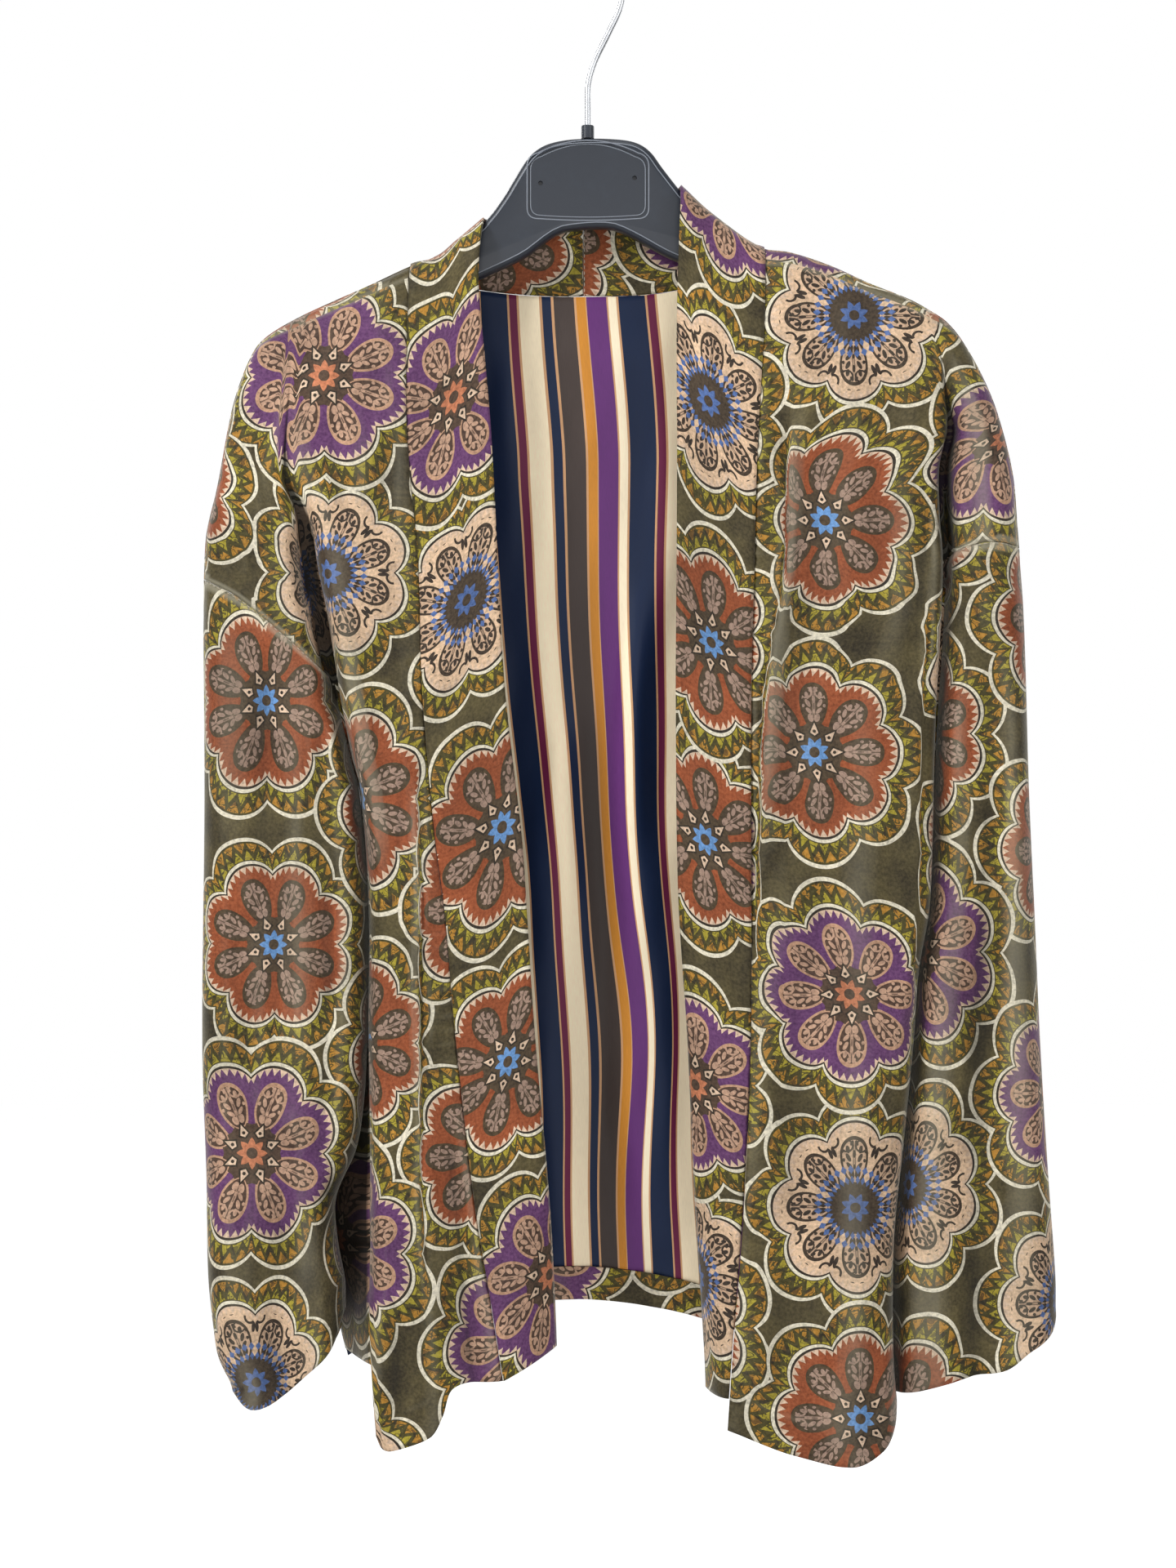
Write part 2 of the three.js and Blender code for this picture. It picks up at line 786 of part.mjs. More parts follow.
// A sleeve is one tube: front from inner to outer edge, then back again behind.
function sleeve(side) {
  const [inner, outer, seam, edge] = [sleeveInner[side], sleeveOuter[side], sleeveSeam[side], cuff[side]];
  const top = (u) => {
    const [x, drop] = onPath(seam, lerp(underarmNotch, seam[seam.length - 1].run, u));
    return [x, drop + seamGap / 2 + underarmEase * (1 - ease(0, underarmBlend.seam, u))];
  };
  const [startX, startDrop] = top(0);
  const sleeveEdges = {
    top,
    bottom: pathEdge(edge),
    start: (v) => {
      const drop = lerp(startDrop, edge[0].drop, v);
      return [lerp(startX, sample(inner, "drop", drop, "x"), ease(0, underarmBlend.edge, v)), drop];
    },
    end: (v) => {
      const drop = lerp(outer[0].drop + seamGap / 2, outer[outer.length - 1].drop, v);
      return [sample(outer, "drop", drop, "x"), drop];
    },
  };
  const place = (sheet) => ([x, drop]) => {
    const toOuter = Math.abs(sample(outer, "drop", drop, "x") - x);
    const toInner = Math.abs(x - sample(inner, "drop", drop, "x"));
    const round = roll(toOuter / shoulderRound) * roll(toInner / creaseRound);
    const slim = lerp(1, sleeveSlim.share, ease(sleeveSlim.from, sleeveSlim.to, drop));
    const depth = sample(hangDepth, "drop", drop, sheet) * slim + armFold(side, sheet, x, drop);
    return new THREE.Vector3(x, facing[sheet] * depth * round, -drop);
  };
  const front = patch(sleeveEdges, acrossArm[side], downSleeve, place("front"));
  const back = patch(sleeveEdges, acrossArm[side], downSleeve, place("back"));
  const grid = front.map((row, i) => [...row, ...back[i].slice(1, -1).reverse()]);
  return wall(grid, panelThickness, { wrap: true, flip: side === "left" });
}

// The soft trough that runs down a sleeve, part of the way.
function armFold(side, sheet, x, drop) {
  const { at, width, depth } = sleeveTrough[side];
  const { top, bottom, rise, backShare } = troughDrops;
  const across = (x - lerp(...at, clamp((drop - top) / (bottom - top)))) / width;
  const share = sheet === "front" ? 1 : backShare;
  return -depth * share * ease(...rise, drop) * Math.exp(-across * across);
}

const bandLift = 0.9; // share of its seam after which the band rises to clear the shoulder

// Half of the neck and front band: from its hem up the front edge, over the shoulder and
// round the back neck to the centre back seam.
function bandHalf(side) {
  const sign = sideSign[side];
  const hem = bandHem[side];
  const [neck, free] = [markOf(side, "neck"), markOf(side, "free")];
  const inset = (sign * seamGap) / 2;
  const edgeOf = (column, from, to, shift) => (v) => {
    const drop = lerp(from, to, v);
    return [sample(bandEdges[side], "drop", drop, column) - shift, drop];
  };
  const seamEdge = edgeOf("seam", hem.seam, neck.drop, inset);
  const freeEdge = edgeOf("free", hem.free, free.drop, 0);
  const alongFront = seamDrops(side)
    .map((drop) => clamp((hem.seam - drop) / (hem.seam - neck.drop)))
    .reverse()
    .filter((v, i, all) => all[i + 1] !== v);
  const apex = straight([neck.x - inset, neck.drop - seamGap], [free.x, free.drop]);
  const front = {
    top: straight(seamEdge(0), freeEdge(0)),
    bottom: apex,
    start: (v) => {
      const [x, drop] = seamEdge(v);
      return [x, drop - seamGap * ease(bandLift, 1, v)];
    },
    end: freeEdge,
  };
  const middle = centreBack + inset;
  const neckLine = (rows, column, from, to, lift) => (v) => {
    const x = lerp(from, to, v);
    return [x, sample(rows, "x", x, column) - lift];
  };
  const back = {
    top: apex,
    bottom: straight(
      [middle, sample(backNeck, "x", middle, "seam") - seamGap / 2],
      [middle, sample(backBandTop, "x", middle, "free")],
    ),
    start: neckLine(backNeck, "seam", neck.x - inset, middle, seamGap / 2),
    end: neckLine(backBandTop, "free", free.x, middle, 0),
  };
  const putFront = (u, [x, drop]) => {
    const curl = sample(bandEdges[side], "drop", drop, "curl") * u ** 3;
    return new THREE.Vector3(x, curl - bodyDepth("front", x, drop), -drop);
  };
  const grid = [
    ...alongFront.map((v) => acrossBand.map((u) => putFront(u, between(front, u, v)))),
    ...alongNeck.map((v) => acrossBand.map((u) => bodyPoint("back", between(back, u, v)))),
  ];
  return wall(grid, bandThickness, { flip: side === "left" });
}

// Layers that lie on the inside of the back: the striped lining and the turned-up hem.
function insideBack(topEdge, bottomEdge, rows, thickness) {
  const gap = panelThickness / 2 + layGap + thickness / 2 + liningEase;
  const edges = { top: topEdge, bottom: bottomEdge };
  edges.start = straight(topEdge(0), bottomEdge(0));
  edges.end = straight(topEdge(1), bottomEdge(1));
  const put = ([x, drop]) => {
    const depth = sample(hangDepth, "drop", drop, "back") + Math.min(foldDepth("back", x, drop), 0);
    return new THREE.Vector3(x, depth - gap, -drop);
  };
  return wall(patch(edges, evenly(liningSteps), rows, put), thickness);
}

const hemInside = (rise) => (u) => {
  const [x, drop] = onPath(backHem, lerp(...hemSpan, u));
  return [x, drop - rise];
};

function backLining() {
  const top = (u) => {
    const x = lerp(...liningTop, u);
    return [x, sample(backNeck, "x", x, "seam") + liningDrop];
  };
  return insideBack(top, hemInside(hemTurn + layGap), evenly(liningSteps), liningThickness);
}

const flat = ([x, drop]) => new THREE.Vector2(x, -drop);

// A plate cut to an outline in the hanging plane, centred on the plane, edges rounded.
function plate(shape, thickness, bevel) {
  const geometry = new THREE.ExtrudeGeometry(shape, {
    depth: thickness - 2 * bevel,
    bevelEnabled: bevel > 0,
    bevelThickness: bevel,
    bevelSize: bevel,
    bevelOffset: -bevel,
    bevelSegments: 3,
    curveSegments: 6,
  });
  return geometry.translate(0, 0, bevel - thickness / 2).rotateX(Math.PI / 2);
}

// Arm of the hanger under a shoulder, from the tip in to the neck.
function armTop(side) {
  const { free, tip } = outlineRuns[side];
  return evenly(hangerSteps.arm).map((t) => {
    const run = lerp(tip - armSpan.fromTip, free + armSpan.fromFree, t);
    const [x, drop] = onPath(outline[side], run);
    const [x2, drop2] = onPath(outline[side], run + seamGap); // a little further on
    const below = (bandThickness / 2 + hangerClearance) / Math.hypot(x2 - x, drop2 - drop);
    return [x - Math.abs(drop2 - drop) * below * sideSign[side], drop + Math.abs(x2 - x) * below];
  });
}

function hangerOutline() {
  const [left, right] = [hangerTop[0].x, hangerTop[hangerTop.length - 1].x];
  const steps = evenly(hangerSteps.neck).map((t) => lerp(left, right, t));
  const neck = steps.slice(1, -1).map((x) => [x, sample(hangerTop, "x", x, "drop")]);
  const [first, last] = [hangerBottom[0].x, hangerBottom[hangerBottom.length - 1].x];
  const under = evenly(hangerSteps.under).map((t) => {
    const x = lerp(last, first, t);
    return [x, sample(hangerBottom, "x", x, "drop")];
  });
  return [...armTop("right"), ...neck, ...armTop("left").reverse(), ...under];
}

function recessShape() {
  const { halfWidth, top, shoulder, bottom, corner, slope, sag } = recess;
  const upper = -(shoulder - slope);
  const shape = new THREE.Shape();
  shape.moveTo(-halfWidth, -(bottom - corner));
  shape.lineTo(-halfWidth, -(shoulder + corner));
  shape.quadraticCurveTo(-halfWidth, -shoulder, -halfWidth + corner, upper);
  shape.quadraticCurveTo(0, -(2 * top - shoulder), halfWidth - corner, upper);
  shape.quadraticCurveTo(halfWidth, -shoulder, halfWidth, -(shoulder + corner));
  shape.lineTo(halfWidth, -(bottom - corner));
  shape.quadraticCurveTo(halfWidth, -bottom, halfWidth - corner, -bottom);
  shape.quadraticCurveTo(0, -(bottom + sag), -halfWidth + corner, -bottom);
  shape.quadraticCurveTo(-halfWidth, -bottom, -halfWidth, -(bottom - corner));
  return shape;
}

const wasm = await Module();
wasm.setup();

function solidOf(geometry) {
  const bare = geometry.clone();
  bare.deleteAttribute("normal");
  bare.deleteAttribute("uv");
  const merged = mergeVertices(bare, 1e-4);
  const mesh = new wasm.Mesh({
    numProp: 3,
    vertProperties: new Float32Array(merged.attributes.position.array),
    triVerts: new Uint32Array(merged.index.array),
  });
  return new wasm.Manifold(mesh);
}

function geometryOf(solid) {
  const mesh = solid.getMesh();
  const geometry = new THREE.BufferGeometry();
  geometry.setAttribute("position", new THREE.Float32BufferAttribute(mesh.vertProperties, 3));
  geometry.setIndex(new THREE.Uint32BufferAttribute(mesh.triVerts, 1));
  return geometry;
}

// The hanger: one moulded plate with a shallow recess on its front and two small blind holes.
function hangerBody() {
  const front = -hangerThickness / 2;
  const outer = plate(new THREE.Shape(hangerOutline().map(flat)), hangerThickness, hangerBevel);
  const cutter = plate(recessShape(), 2 * recess.depth, 0).translate(0, front, 0);
  let body = solidOf(outer).subtract(solidOf(cutter));
  for (const { x, drop } of pinHoles.at) {
    const { radius, depth, sides } = pinHoles;
    const hole = new THREE.CylinderGeometry(radius, radius, 2 * depth, sides);
    body = body.subtract(solidOf(hole.translate(x, front, -drop)));
  }
  return geometryOf(body);
}

// A ring round the wire where it enters the hanger.
function ferruleRing() {
  const { x, top, bottom, outer, inner, edge, sides } = ferrule;
  const profile = [
    [inner, -bottom],
    [outer, -bottom],
    [outer, -(top + edge)],
    [outer - edge, -top],
    [inner, -top],
    [inner, -bottom],
  ].map(([r, z]) => new THREE.Vector2(r, z));
  return new THREE.LatheGeometry(profile, sides).rotateX(Math.PI / 2).translate(x, 0, 0);
}

// The hook: a round wire that leans over and turns back in a loop, its end rounded off.
function hookWire() {
  const centre = { x: hookTurn.x, drop: loopRadius - wireRadius };
  const stem = hookStem.map(({ x, drop }) => new THREE.Vector3(x, 0, -drop));
  const loop = evenly(hookSteps.loop).map((t) => {
    const angle = THREE.MathUtils.degToRad(lerp(hookTurn.from, hookTurn.to, t));
    const [x, z] = [Math.cos(angle) * loopRadius, Math.sin(angle) * loopRadius];
    return new THREE.Vector3(centre.x + x, 0, z - centre.drop);
  });
  const line = new THREE.CatmullRomCurve3([...stem, ...loop], false, "centripetal");
  const section = new THREE.Shape();
  section.absarc(0, 0, wireRadius, 0, Math.PI * 2);
  return new THREE.ExtrudeGeometry(section, {
    steps: hookSteps.along,
    extrudePath: line,
    curveSegments: hookSteps.round,
  });
}

add("hanger_body", hangerBody(), slate);
add("hanger_ferrule", ferruleRing(), slate);
add("hanger_hook", hookWire(), steel);
add("front_right", frontPanel("right"), cloth);
add("front_left", frontPanel("left"), cloth);
add("back_panel", backPanel(), cloth);
add("sleeve_right", sleeve("right"), cloth);
add("sleeve_left", sleeve("left"), cloth);
add("band_right", bandHalf("right"), bandCloth);
add("band_left", bandHalf("left"), bandCloth);
add("back_lining", backLining(), satin);
add("back_hem", insideBack(hemInside(hemTurn), hemInside(hemStart), evenly(2), facingThickness), bandCloth);

export default part;
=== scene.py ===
import math

import bmesh
import bpy
import numpy as np
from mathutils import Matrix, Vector


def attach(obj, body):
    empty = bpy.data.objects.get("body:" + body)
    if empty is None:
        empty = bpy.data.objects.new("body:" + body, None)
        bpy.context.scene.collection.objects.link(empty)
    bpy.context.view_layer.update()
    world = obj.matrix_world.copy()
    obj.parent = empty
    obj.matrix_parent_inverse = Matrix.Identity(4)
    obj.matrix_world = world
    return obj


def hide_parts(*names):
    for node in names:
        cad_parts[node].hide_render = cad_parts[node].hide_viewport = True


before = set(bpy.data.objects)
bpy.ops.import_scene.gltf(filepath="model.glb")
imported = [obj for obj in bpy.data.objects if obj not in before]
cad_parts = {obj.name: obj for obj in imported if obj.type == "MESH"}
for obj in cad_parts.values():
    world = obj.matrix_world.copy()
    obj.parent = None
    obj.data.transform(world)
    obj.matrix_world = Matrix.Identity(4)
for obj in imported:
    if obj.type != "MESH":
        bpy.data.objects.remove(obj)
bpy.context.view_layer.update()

# A printed velvet kaftan jacket on its hanger. Tables are in millimetres in the hanging plane:
# x to the wearer's left, drop below the inside top of the hook. Meshes are in metres.

view = {
    "distance": 1.9,
    "height": -0.4775,
    "frameHeight": 0.8736,  # what the frame takes in from top to bottom at the hanging plane
}


def addCamera():
    data = bpy.data.cameras.new("camera")
    data.sensor_width = 36
    data.lens = 36 * view["distance"] / view["frameHeight"]
    camera = bpy.data.objects.new("camera", data)
    camera.location = (0, -view["distance"], view["height"])
    camera.rotation_euler = (math.radians(90), 0, 0)
    bpy.context.collection.objects.link(camera)
    bpy.context.scene.camera = camera


addCamera()
print("camera placed")


# Curves and patches.

def ease(low, high, value):
    t = np.clip((value - low) / (high - low), 0, 1)
    return t * t * (3 - 2 * t)


def roll(t):
    return np.sqrt(1 - (1 - np.clip(t, 0, 1)) ** 2)  # quarter round, 0 at the edge


def mix(a, b, t):
    return a + (b - a) * t


def smoothAt(xs, ys, at):
    xs, ys = np.asarray(xs, float), np.asarray(ys, float)
    slope = np.empty_like(ys)
    slope[1:-1] = (ys[2:] - ys[:-2]) / (xs[2:] - xs[:-2])
    slope[0] = (ys[1] - ys[0]) / (xs[1] - xs[0])
    slope[-1] = (ys[-1] - ys[-2]) / (xs[-1] - xs[-2])
    at = np.clip(at, xs[0], xs[-1])
    i = np.clip(np.searchsorted(xs, at) - 1, 0, len(xs) - 2)
    span = xs[i + 1] - xs[i]
    t = (at - xs[i]) / span
    bend = span * t * (1 - t) * (slope[i] * (1 - t) - slope[i + 1] * t)
    return mix(ys[i], ys[i + 1], t * t * (3 - 2 * t)) + bend


class Table:
    def __init__(self, names, rows):
        self.columns = dict(zip(names.split(), np.array(rows, float).T))

    def at(self, by, value, of):
        return smoothAt(self.columns[by], self.columns[of], value)


class Path:
    def __init__(self, points):
        self.points = np.array(points, float)
        steps = np.hypot(*np.diff(self.points, axis=0).T)
        self.run = np.concatenate([[0], np.cumsum(steps)])
        self.length = self.run[-1]

    def at(self, run):
        run = np.asarray(run, float)
        return np.stack([smoothAt(self.run, self.points[:, k], run) for k in (0, 1)], -1)


# Shoulder and overarm outline, from the band's free edge out to the sleeve seam.
outline = {
    "right": Path([
        (-58.0, 162.2), (-72.3, 174.4), (-84.2, 184.0), (-98.3, 189.0), (-123.8, 200.8),
        (-139.7, 207.7), (-161.0, 217.5), (-177.0, 226.8), (-185.0, 234.5), (-192.9, 251.3),
        (-198.8, 270.9), (-206.6, 312.3), (-212.5, 338.2), (-213.9, 363.7),
    ]),
    "left": Path([
        (51.6, 144.2), (66.0, 158.1), (89.2, 175.4), (98.3, 179.5), (112.4, 181.3),
        (134.7, 188.6), (157.0, 198.6), (179.7, 207.7), (190.0, 213.4), (199.7, 219.9),
        (208.5, 230.5), (220.2, 251.3), (228.4, 271.8), (236.6, 304.6), (239.3, 334.6),
        (240.2, 346.4),
    ]),
}
marks = {
    "right": {"free": 0, "neck": 3, "creaseTop": 6, "tip": 8, "sleeveSeam": 13},
    "left": {"free": 0, "neck": 3, "creaseTop": 8, "tip": 10, "sleeveSeam": 15},
}

# Armhole crease, then the side seam; pinch is how far front and back draw together there.
crease = {
    "right": Table("drop x pinch", [
        (217.5, -161.0, 0), (262.0, -165.0, 0), (308.2, -166.1, 0.12), (328.7, -158.3, 0.35),
        (356.9, -154.7, 0.6), (384.7, -149.2, 0.78), (421.0, -142.4, 0.9), (461.6, -132.9, 1),
        (480.7, -127.4, 1), (546.2, -121.9, 1), (612.0, -121.9, 1), (681.0, -121.0, 1),
        (754.0, -121.5, 1), (775.0, -127.0, 1), (799.0, -134.0, 1),
    ]),
    "left": Table("drop x pinch", [
        (213.4, 190.0, 0), (261.8, 197.9, 0.15), (281.8, 200.7, 0.4), (303.2, 197.5, 0.62),
        (330.0, 198.0, 0.8), (352.0, 199.6, 0.9), (384.7, 198.4, 1), (448.8, 194.3, 1),
        (541.2, 190.2, 1), (581.7, 183.4, 1), (620.3, 180.6, 1), (675.4, 175.2, 1),
        (730.9, 169.7, 1), (790.0, 169.3, 1), (818.0, 171.0, 1),
    ]),
}
underarm = {"right": 421.0, "left": 352.0}

bandEdges = {
    "right": Table("drop seam free curl", [
        (162.2, -98.3, -58.0, 0), (197.7, -98.8, -60.5, 0), (241.0, -100.1, -57.0, 0),
        (286.4, -99.5, -53.2, 0), (357.8, -93.3, -49.5, 0), (427.4, -91.0, -45.5, 0),
        (506.6, -84.0, -36.4, 0), (550.3, -78.3, -33.5, 2), (612.2, -73.0, -29.6, 5),
        (704.5, -62.5, -21.8, 12), (760.0, -53.5, -18.8, 18), (804.2, -46.4, -17.3, 22),
    ]),
    "left": Table("drop seam free curl", [
        (144.2, 98.3, 51.6, 0), (220.9, 97.4, 49.1, 0), (294.1, 93.3, 49.1, 0),
        (375.6, 91.0, 48.6, 0), (427.4, 89.6, 48.2, 0), (537.5, 89.6, 49.6, 2),
        (620.3, 89.2, 55.1, 9), (703.2, 85.5, 59.2, 18), (794.2, 78.7, 65.2, 28),
        (831.0, 76.2, 66.4, 30),
    ]),
}
bandHem = {"right": (804.2, 788.0), "left": (814.0, 812.0)}  # seam edge, free edge

hangDepth = Table("drop front back", [
    (140, 17, 17), (215, 18, 18), (300, 23, 21), (420, 28, 24), (600, 32, 27), (860, 36, 29),
])

# The largest folds, which the solids have too: sheet, height, width, (drop, x) down the fold.
mainFolds = [
    ("front", 5, 7, [(270, 111), (332, 109.2), (390, 104.2), (441, 100.6), (505, 96)]),
    ("front", -4, 8, [(380, 182), (440, 186), (500, 184), (620, 168)]),
    ("front", 5, 9, [(470, -92), (560, -91), (691, -90), (760, -86), (842, -84)]),
    ("front", -4, 8, [(640, -80), (740, -72), (808, -64)]),
    ("front", 4, 14, [(480, 150), (640, 143), (850, 146)]),
    ("back", 5, 16, [(300, -92), (560, -78), (770, -70)]),
    ("back", -4, 14, [(420, -30), (600, -26), (775, -20)]),
    ("back", 5, 16, [(300, 96), (520, 84), (790, 72)]),
]

sleeveSeam = {
    "right": Path([(-142.4, 421.0), (-161.1, 401.0), (-178.8, 385.6), (-192.9, 374.6), (-213.9, 363.7)]),
    "left": Path([(199.6, 352.0), (210.0, 346.5), (223.0, 344.2), (240.2, 346.4)]),
}
sleeveOuter = {
    "right": Table("drop x", [
        (363.7, -213.9), (480.0, -213.0), (623.0, -214.3), (696.0, -212.0), (750.0, -211.0),
        (780.0, -208.0), (796.0, -205.2), (811.4, -197.5),
    ]),
    "left": Table("drop x", [
        (346.4, 240.2), (400.0, 242.6), (480.0, 244.8), (550.0, 248.0), (623.0, 251.2),
        (696.0, 255.7), (750.0, 259.6), (772.0, 259.8),
    ]),
}
sleeveInner = {
    "right": Table("drop x", [
        (421.0, -145.2), (461.6, -136.4), (480.7, -131.2), (546.2, -125.4), (612.0, -125.6),
        (650.0, -128.0), (680.0, -132.5), (707.3, -143.8), (729.6, -143.3), (754.0, -139.0),
        (768.7, -138.6),
    ]),
    "left": Table("drop x", [
        (352.0, 202.6), (384.7, 201.9), (448.8, 197.8), (541.2, 193.7), (581.7, 187.0),
        (620.3, 184.1), (675.4, 178.8), (730.9, 173.4), (790.0, 173.0), (814.2, 173.4),
    ]),
}
cuff = {
    "right": Path([
        (-138.6, 768.7), (-145.1, 789.6), (-155.6, 802.3), (-172.9, 818.3), (-185.6, 821.5),
        (-197.5, 811.4),
    ]),
    "left": Path([
        (173.4, 814.2), (212.0, 803.7), (230.2, 799.6), (241.2, 791.4), (255.3, 781.0),
        (259.8, 772.0),
    ]),
}
frontHem = {
    "right": Path([
        (-46.4, 804.2), (-73.3, 807.8), (-79.5, 823.0), (-86.0, 834.0), (-107.4, 842.3),
        (-112.5, 841.0), (-116.0, 834.0),
    ]),
    "left": Path([
        (76.2, 831.0), (110.0, 844.0), (145.0, 850.6), (160.6, 842.8), (168.5, 830.6),
        (171.0, 818.0),
    ]),
}
backHem = Path([
    (-134.0, 799.0), (-90.0, 778.0), (-17.0, 768.5), (51.0, 776.0), (120.0, 800.0), (171.0, 818.0),
])
backNeck = Table("x seam", [
    (-98.3, 189.0), (-80, 196.0), (-45, 202.0), (-2.7, 203.5), (45, 201.0), (80, 190.5), (98.3, 179.5),
])
backBandTop = Table("x free", [
    (-58.0, 162.2), (-40, 157.5), (-2.7, 155.0), (30, 150.0), (51.6, 144.2),
])

# Low down on the right the front's edge hangs forward of the side seam. The cloth returns from
# it to the back panel's edge, behind the sleeve.
lowFrontEdge = Table("drop x", [(600, -121.9), (681, -121.0), (754, -120.4), (799, -118.2), (834, -116.0)])
lowBackEdge = Table("drop x", [
    (600, -122.0), (650, -131.0), (695, -147.0), (740, -148.0), (768, -141.5), (785, -138.5),
    (799, -135.0),
])
lowReturn = {
    "from": 622,
    "to": 795,
    "columns": 12,
    "depth": 19.0,
    "top": 600,  # it starts to part from the side seam here and has its full depth at "full"
    "full": 700,
    "pull": 26,  # how far into the back panel the cloth is drawn along
    "ripple": 1.1,
    "wave": 13,
    # Painted shade on the returned strip: 'dark' along it, easing to 'hemDark' near its hem between 'hemFrom'
    # and 'hemTo'.
    "dark": 1.0,
    "hemDark": 0.3,
    "hemFrom": 768,
    "hemTo": 792,
}

centreBack = -2.7
seamGap = 0.4
sign = {"right": -1, "left": 1}
acrossBody = {
    "right": [0, 0.12, 0.25, 0.38, 0.5, 0.6, 0.7, 0.82, 0.93, 1],
    "left": [0, 0.07, 0.13, 0.19, 0.27, 0.37, 0.47, 0.57, 0.68, 0.79, 0.87, 0.935, 0.98, 1],
}
acrossArm = {
    "right": [0, 0.025, 0.09, 0.18, 0.34, 0.5, 0.66, 0.8, 0.9, 0.972, 1],
    "left": [0, 0.035, 0.13, 0.26, 0.42, 0.56, 0.7, 0.84, 0.96, 1],
}
downUpper = {
    "right": [0, 0.01, 0.037, 0.075, 0.17, 0.28, 0.4, 0.52, 0.63, 0.74, 0.84, 0.93, 1],
    "left": [0, 0.014, 0.052, 0.105, 0.22, 0.34, 0.46, 0.58, 0.7, 0.81, 0.91, 1],
}
downSleeve = [0, 0.05, 0.12, 0.2, 0.29, 0.38, 0.47, 0.56, 0.65, 0.74, 0.82, 0.89, 0.95, 1]
downLower = [0, 0.015, 0.05, 0.11, 0.19, 0.28, 0.37, 0.46, 0.55, 0.64, 0.73, 0.81, 0.88, 0.93, 0.965, 1]
levelBreak = 6
edgeRound = 16.0  # how far in from the outline the cloth reaches its full depth
farAway = 99.0

# Length and cell size that each division of a sheet is worked out with.
meshSteps = {
    "front": (110, 2.4),
    "armRight": (75, 2.2),
    "armLeft": (45, 2.2),
    "upper": (210, 2.7),
    "lower": (420, 2.9),
    "sleeveAcross": (78, 2.2),
    "sleeveDown": (440, 2.9),
    "bandAcross": (47, 2.3),
    "bandNeck": (110, 2.6),
}
backStep = 2.8
rowStep = 2.8  # mean height of a row on the fronts

clothThickness = {"panel": 1.5, "band": 2.4, "lining": 0.8, "hem": 1.3}


def runOf(side, mark):
    return outline[side].run[marks[side][mark]]


def markPoint(side, mark):
    return outline[side].points[marks[side][mark]]


def fractions(stops, length, step, softStart=False, softEnd=False):
    parts = [np.array([0.0])]
    for i, (a, b) in enumerate(zip(stops[:-1], stops[1:])):
        count = max(2, math.ceil((b - a) * length / step))
        t = np.arange(1, count + 1) / count
        if softStart and i == 0:
            t = t ** 2
        if softEnd and i == len(stops) - 2:
            t = 1 - (1 - t) ** 2
        parts.append(mix(a, b, t))
    return np.concatenate(parts)


def coons(top, bottom, start, end, across, down):
    ends = np.array([0.0, 1.0])
    t, b, s, e = top(across), bottom(across), start(down), end(down)
    (ta, tb), (ba, bb) = top(ends), bottom(ends)
    u, v = across[None, :, None], down[:, None, None]
    return (mix(t[None], b[None], v) + mix(s[:, None], e[:, None], u)
            - mix(mix(ta, tb, u), mix(ba, bb, u), v))


def straight(a, b):
    a, b = np.array(a, float), np.array(b, float)
    return lambda t: mix(a, b, np.asarray(t, float)[:, None])


def alongPath(path, low=0, high=None):
    high = path.length if high is None else high
    return lambda t: path.at(mix(low, high, np.asarray(t, float)))


def creaseEdge(side, low, high):
    def edge(t):
        drop = mix(low, high, np.asarray(t, float))
        return np.stack([crease[side].at("drop", drop, "x"), drop], -1)
    return edge


def creasePoint(side, drop):
    return creaseEdge(side, drop, drop)(np.array([0.0]))[0]


outlineDots = {side: outline[side].at(np.linspace(0, outline[side].length, 61)) for side in sign}


def pathDistance(points, x, drop):
    best = np.full(x.shape, 1e9)
    place = np.zeros(x.shape)
    turn = np.zeros(x.shape)
    for i, (a, b) in enumerate(zip(points[:-1], points[1:])):
        dx, dz = b - a
        t = np.clip(((x - a[0]) * dx + (drop - a[1]) * dz) / (dx * dx + dz * dz), 0, 1)
        px, pz = x - a[0] - t * dx, drop - a[1] - t * dz
        distance = np.hypot(px, pz)
        near = distance < best
        best[near], place[near] = distance[near], ((i + t) / (len(points) - 1))[near]
        turn[near] = np.sign(px * dz - pz * dx)[near]
    return best, place, turn


def waves(x, drop, length, seed, stretch=3.0, count=7):
    # Soft uneven relief, about -1 to 1, whose waves are longer down the cloth than across it.
    rng = np.random.default_rng(seed)
    total = np.zeros(x.shape)
    for _ in range(count):
        angle = rng.normal(0, 0.55)
        size = length * rng.uniform(0.7, 1.6)
        phase = rng.uniform(0, 2 * math.pi)
        total += np.sin(2 * math.pi * (x * math.cos(angle) + drop * math.sin(angle) / stretch) / size + phase)
    return total / math.sqrt(count * 2)


# Height, length and stretch of each layer of waves on a sheet.
softWaves = {
    "body": ((1.6, 58, 3.0), (0.6, 23, 2.4), (0.16, 9, 1.4)),
    "sleeve": ((1.4, 46, 3.0), (0.55, 19, 2.2), (0.16, 8, 1.4)),
    "band": ((0.7, 70, 2.2), (0.28, 22, 1.2)),
    "lining": ((1.2, 54, 4.0), (0.5, 21, 3.0)),
}


def softRelief(sheet, x, drop, seed):
    total = np.zeros(x.shape)
    for k, (height, length, stretch) in enumerate(softWaves[sheet]):
        total += height * waves(x, drop, length, seed + k, stretch)
    return total


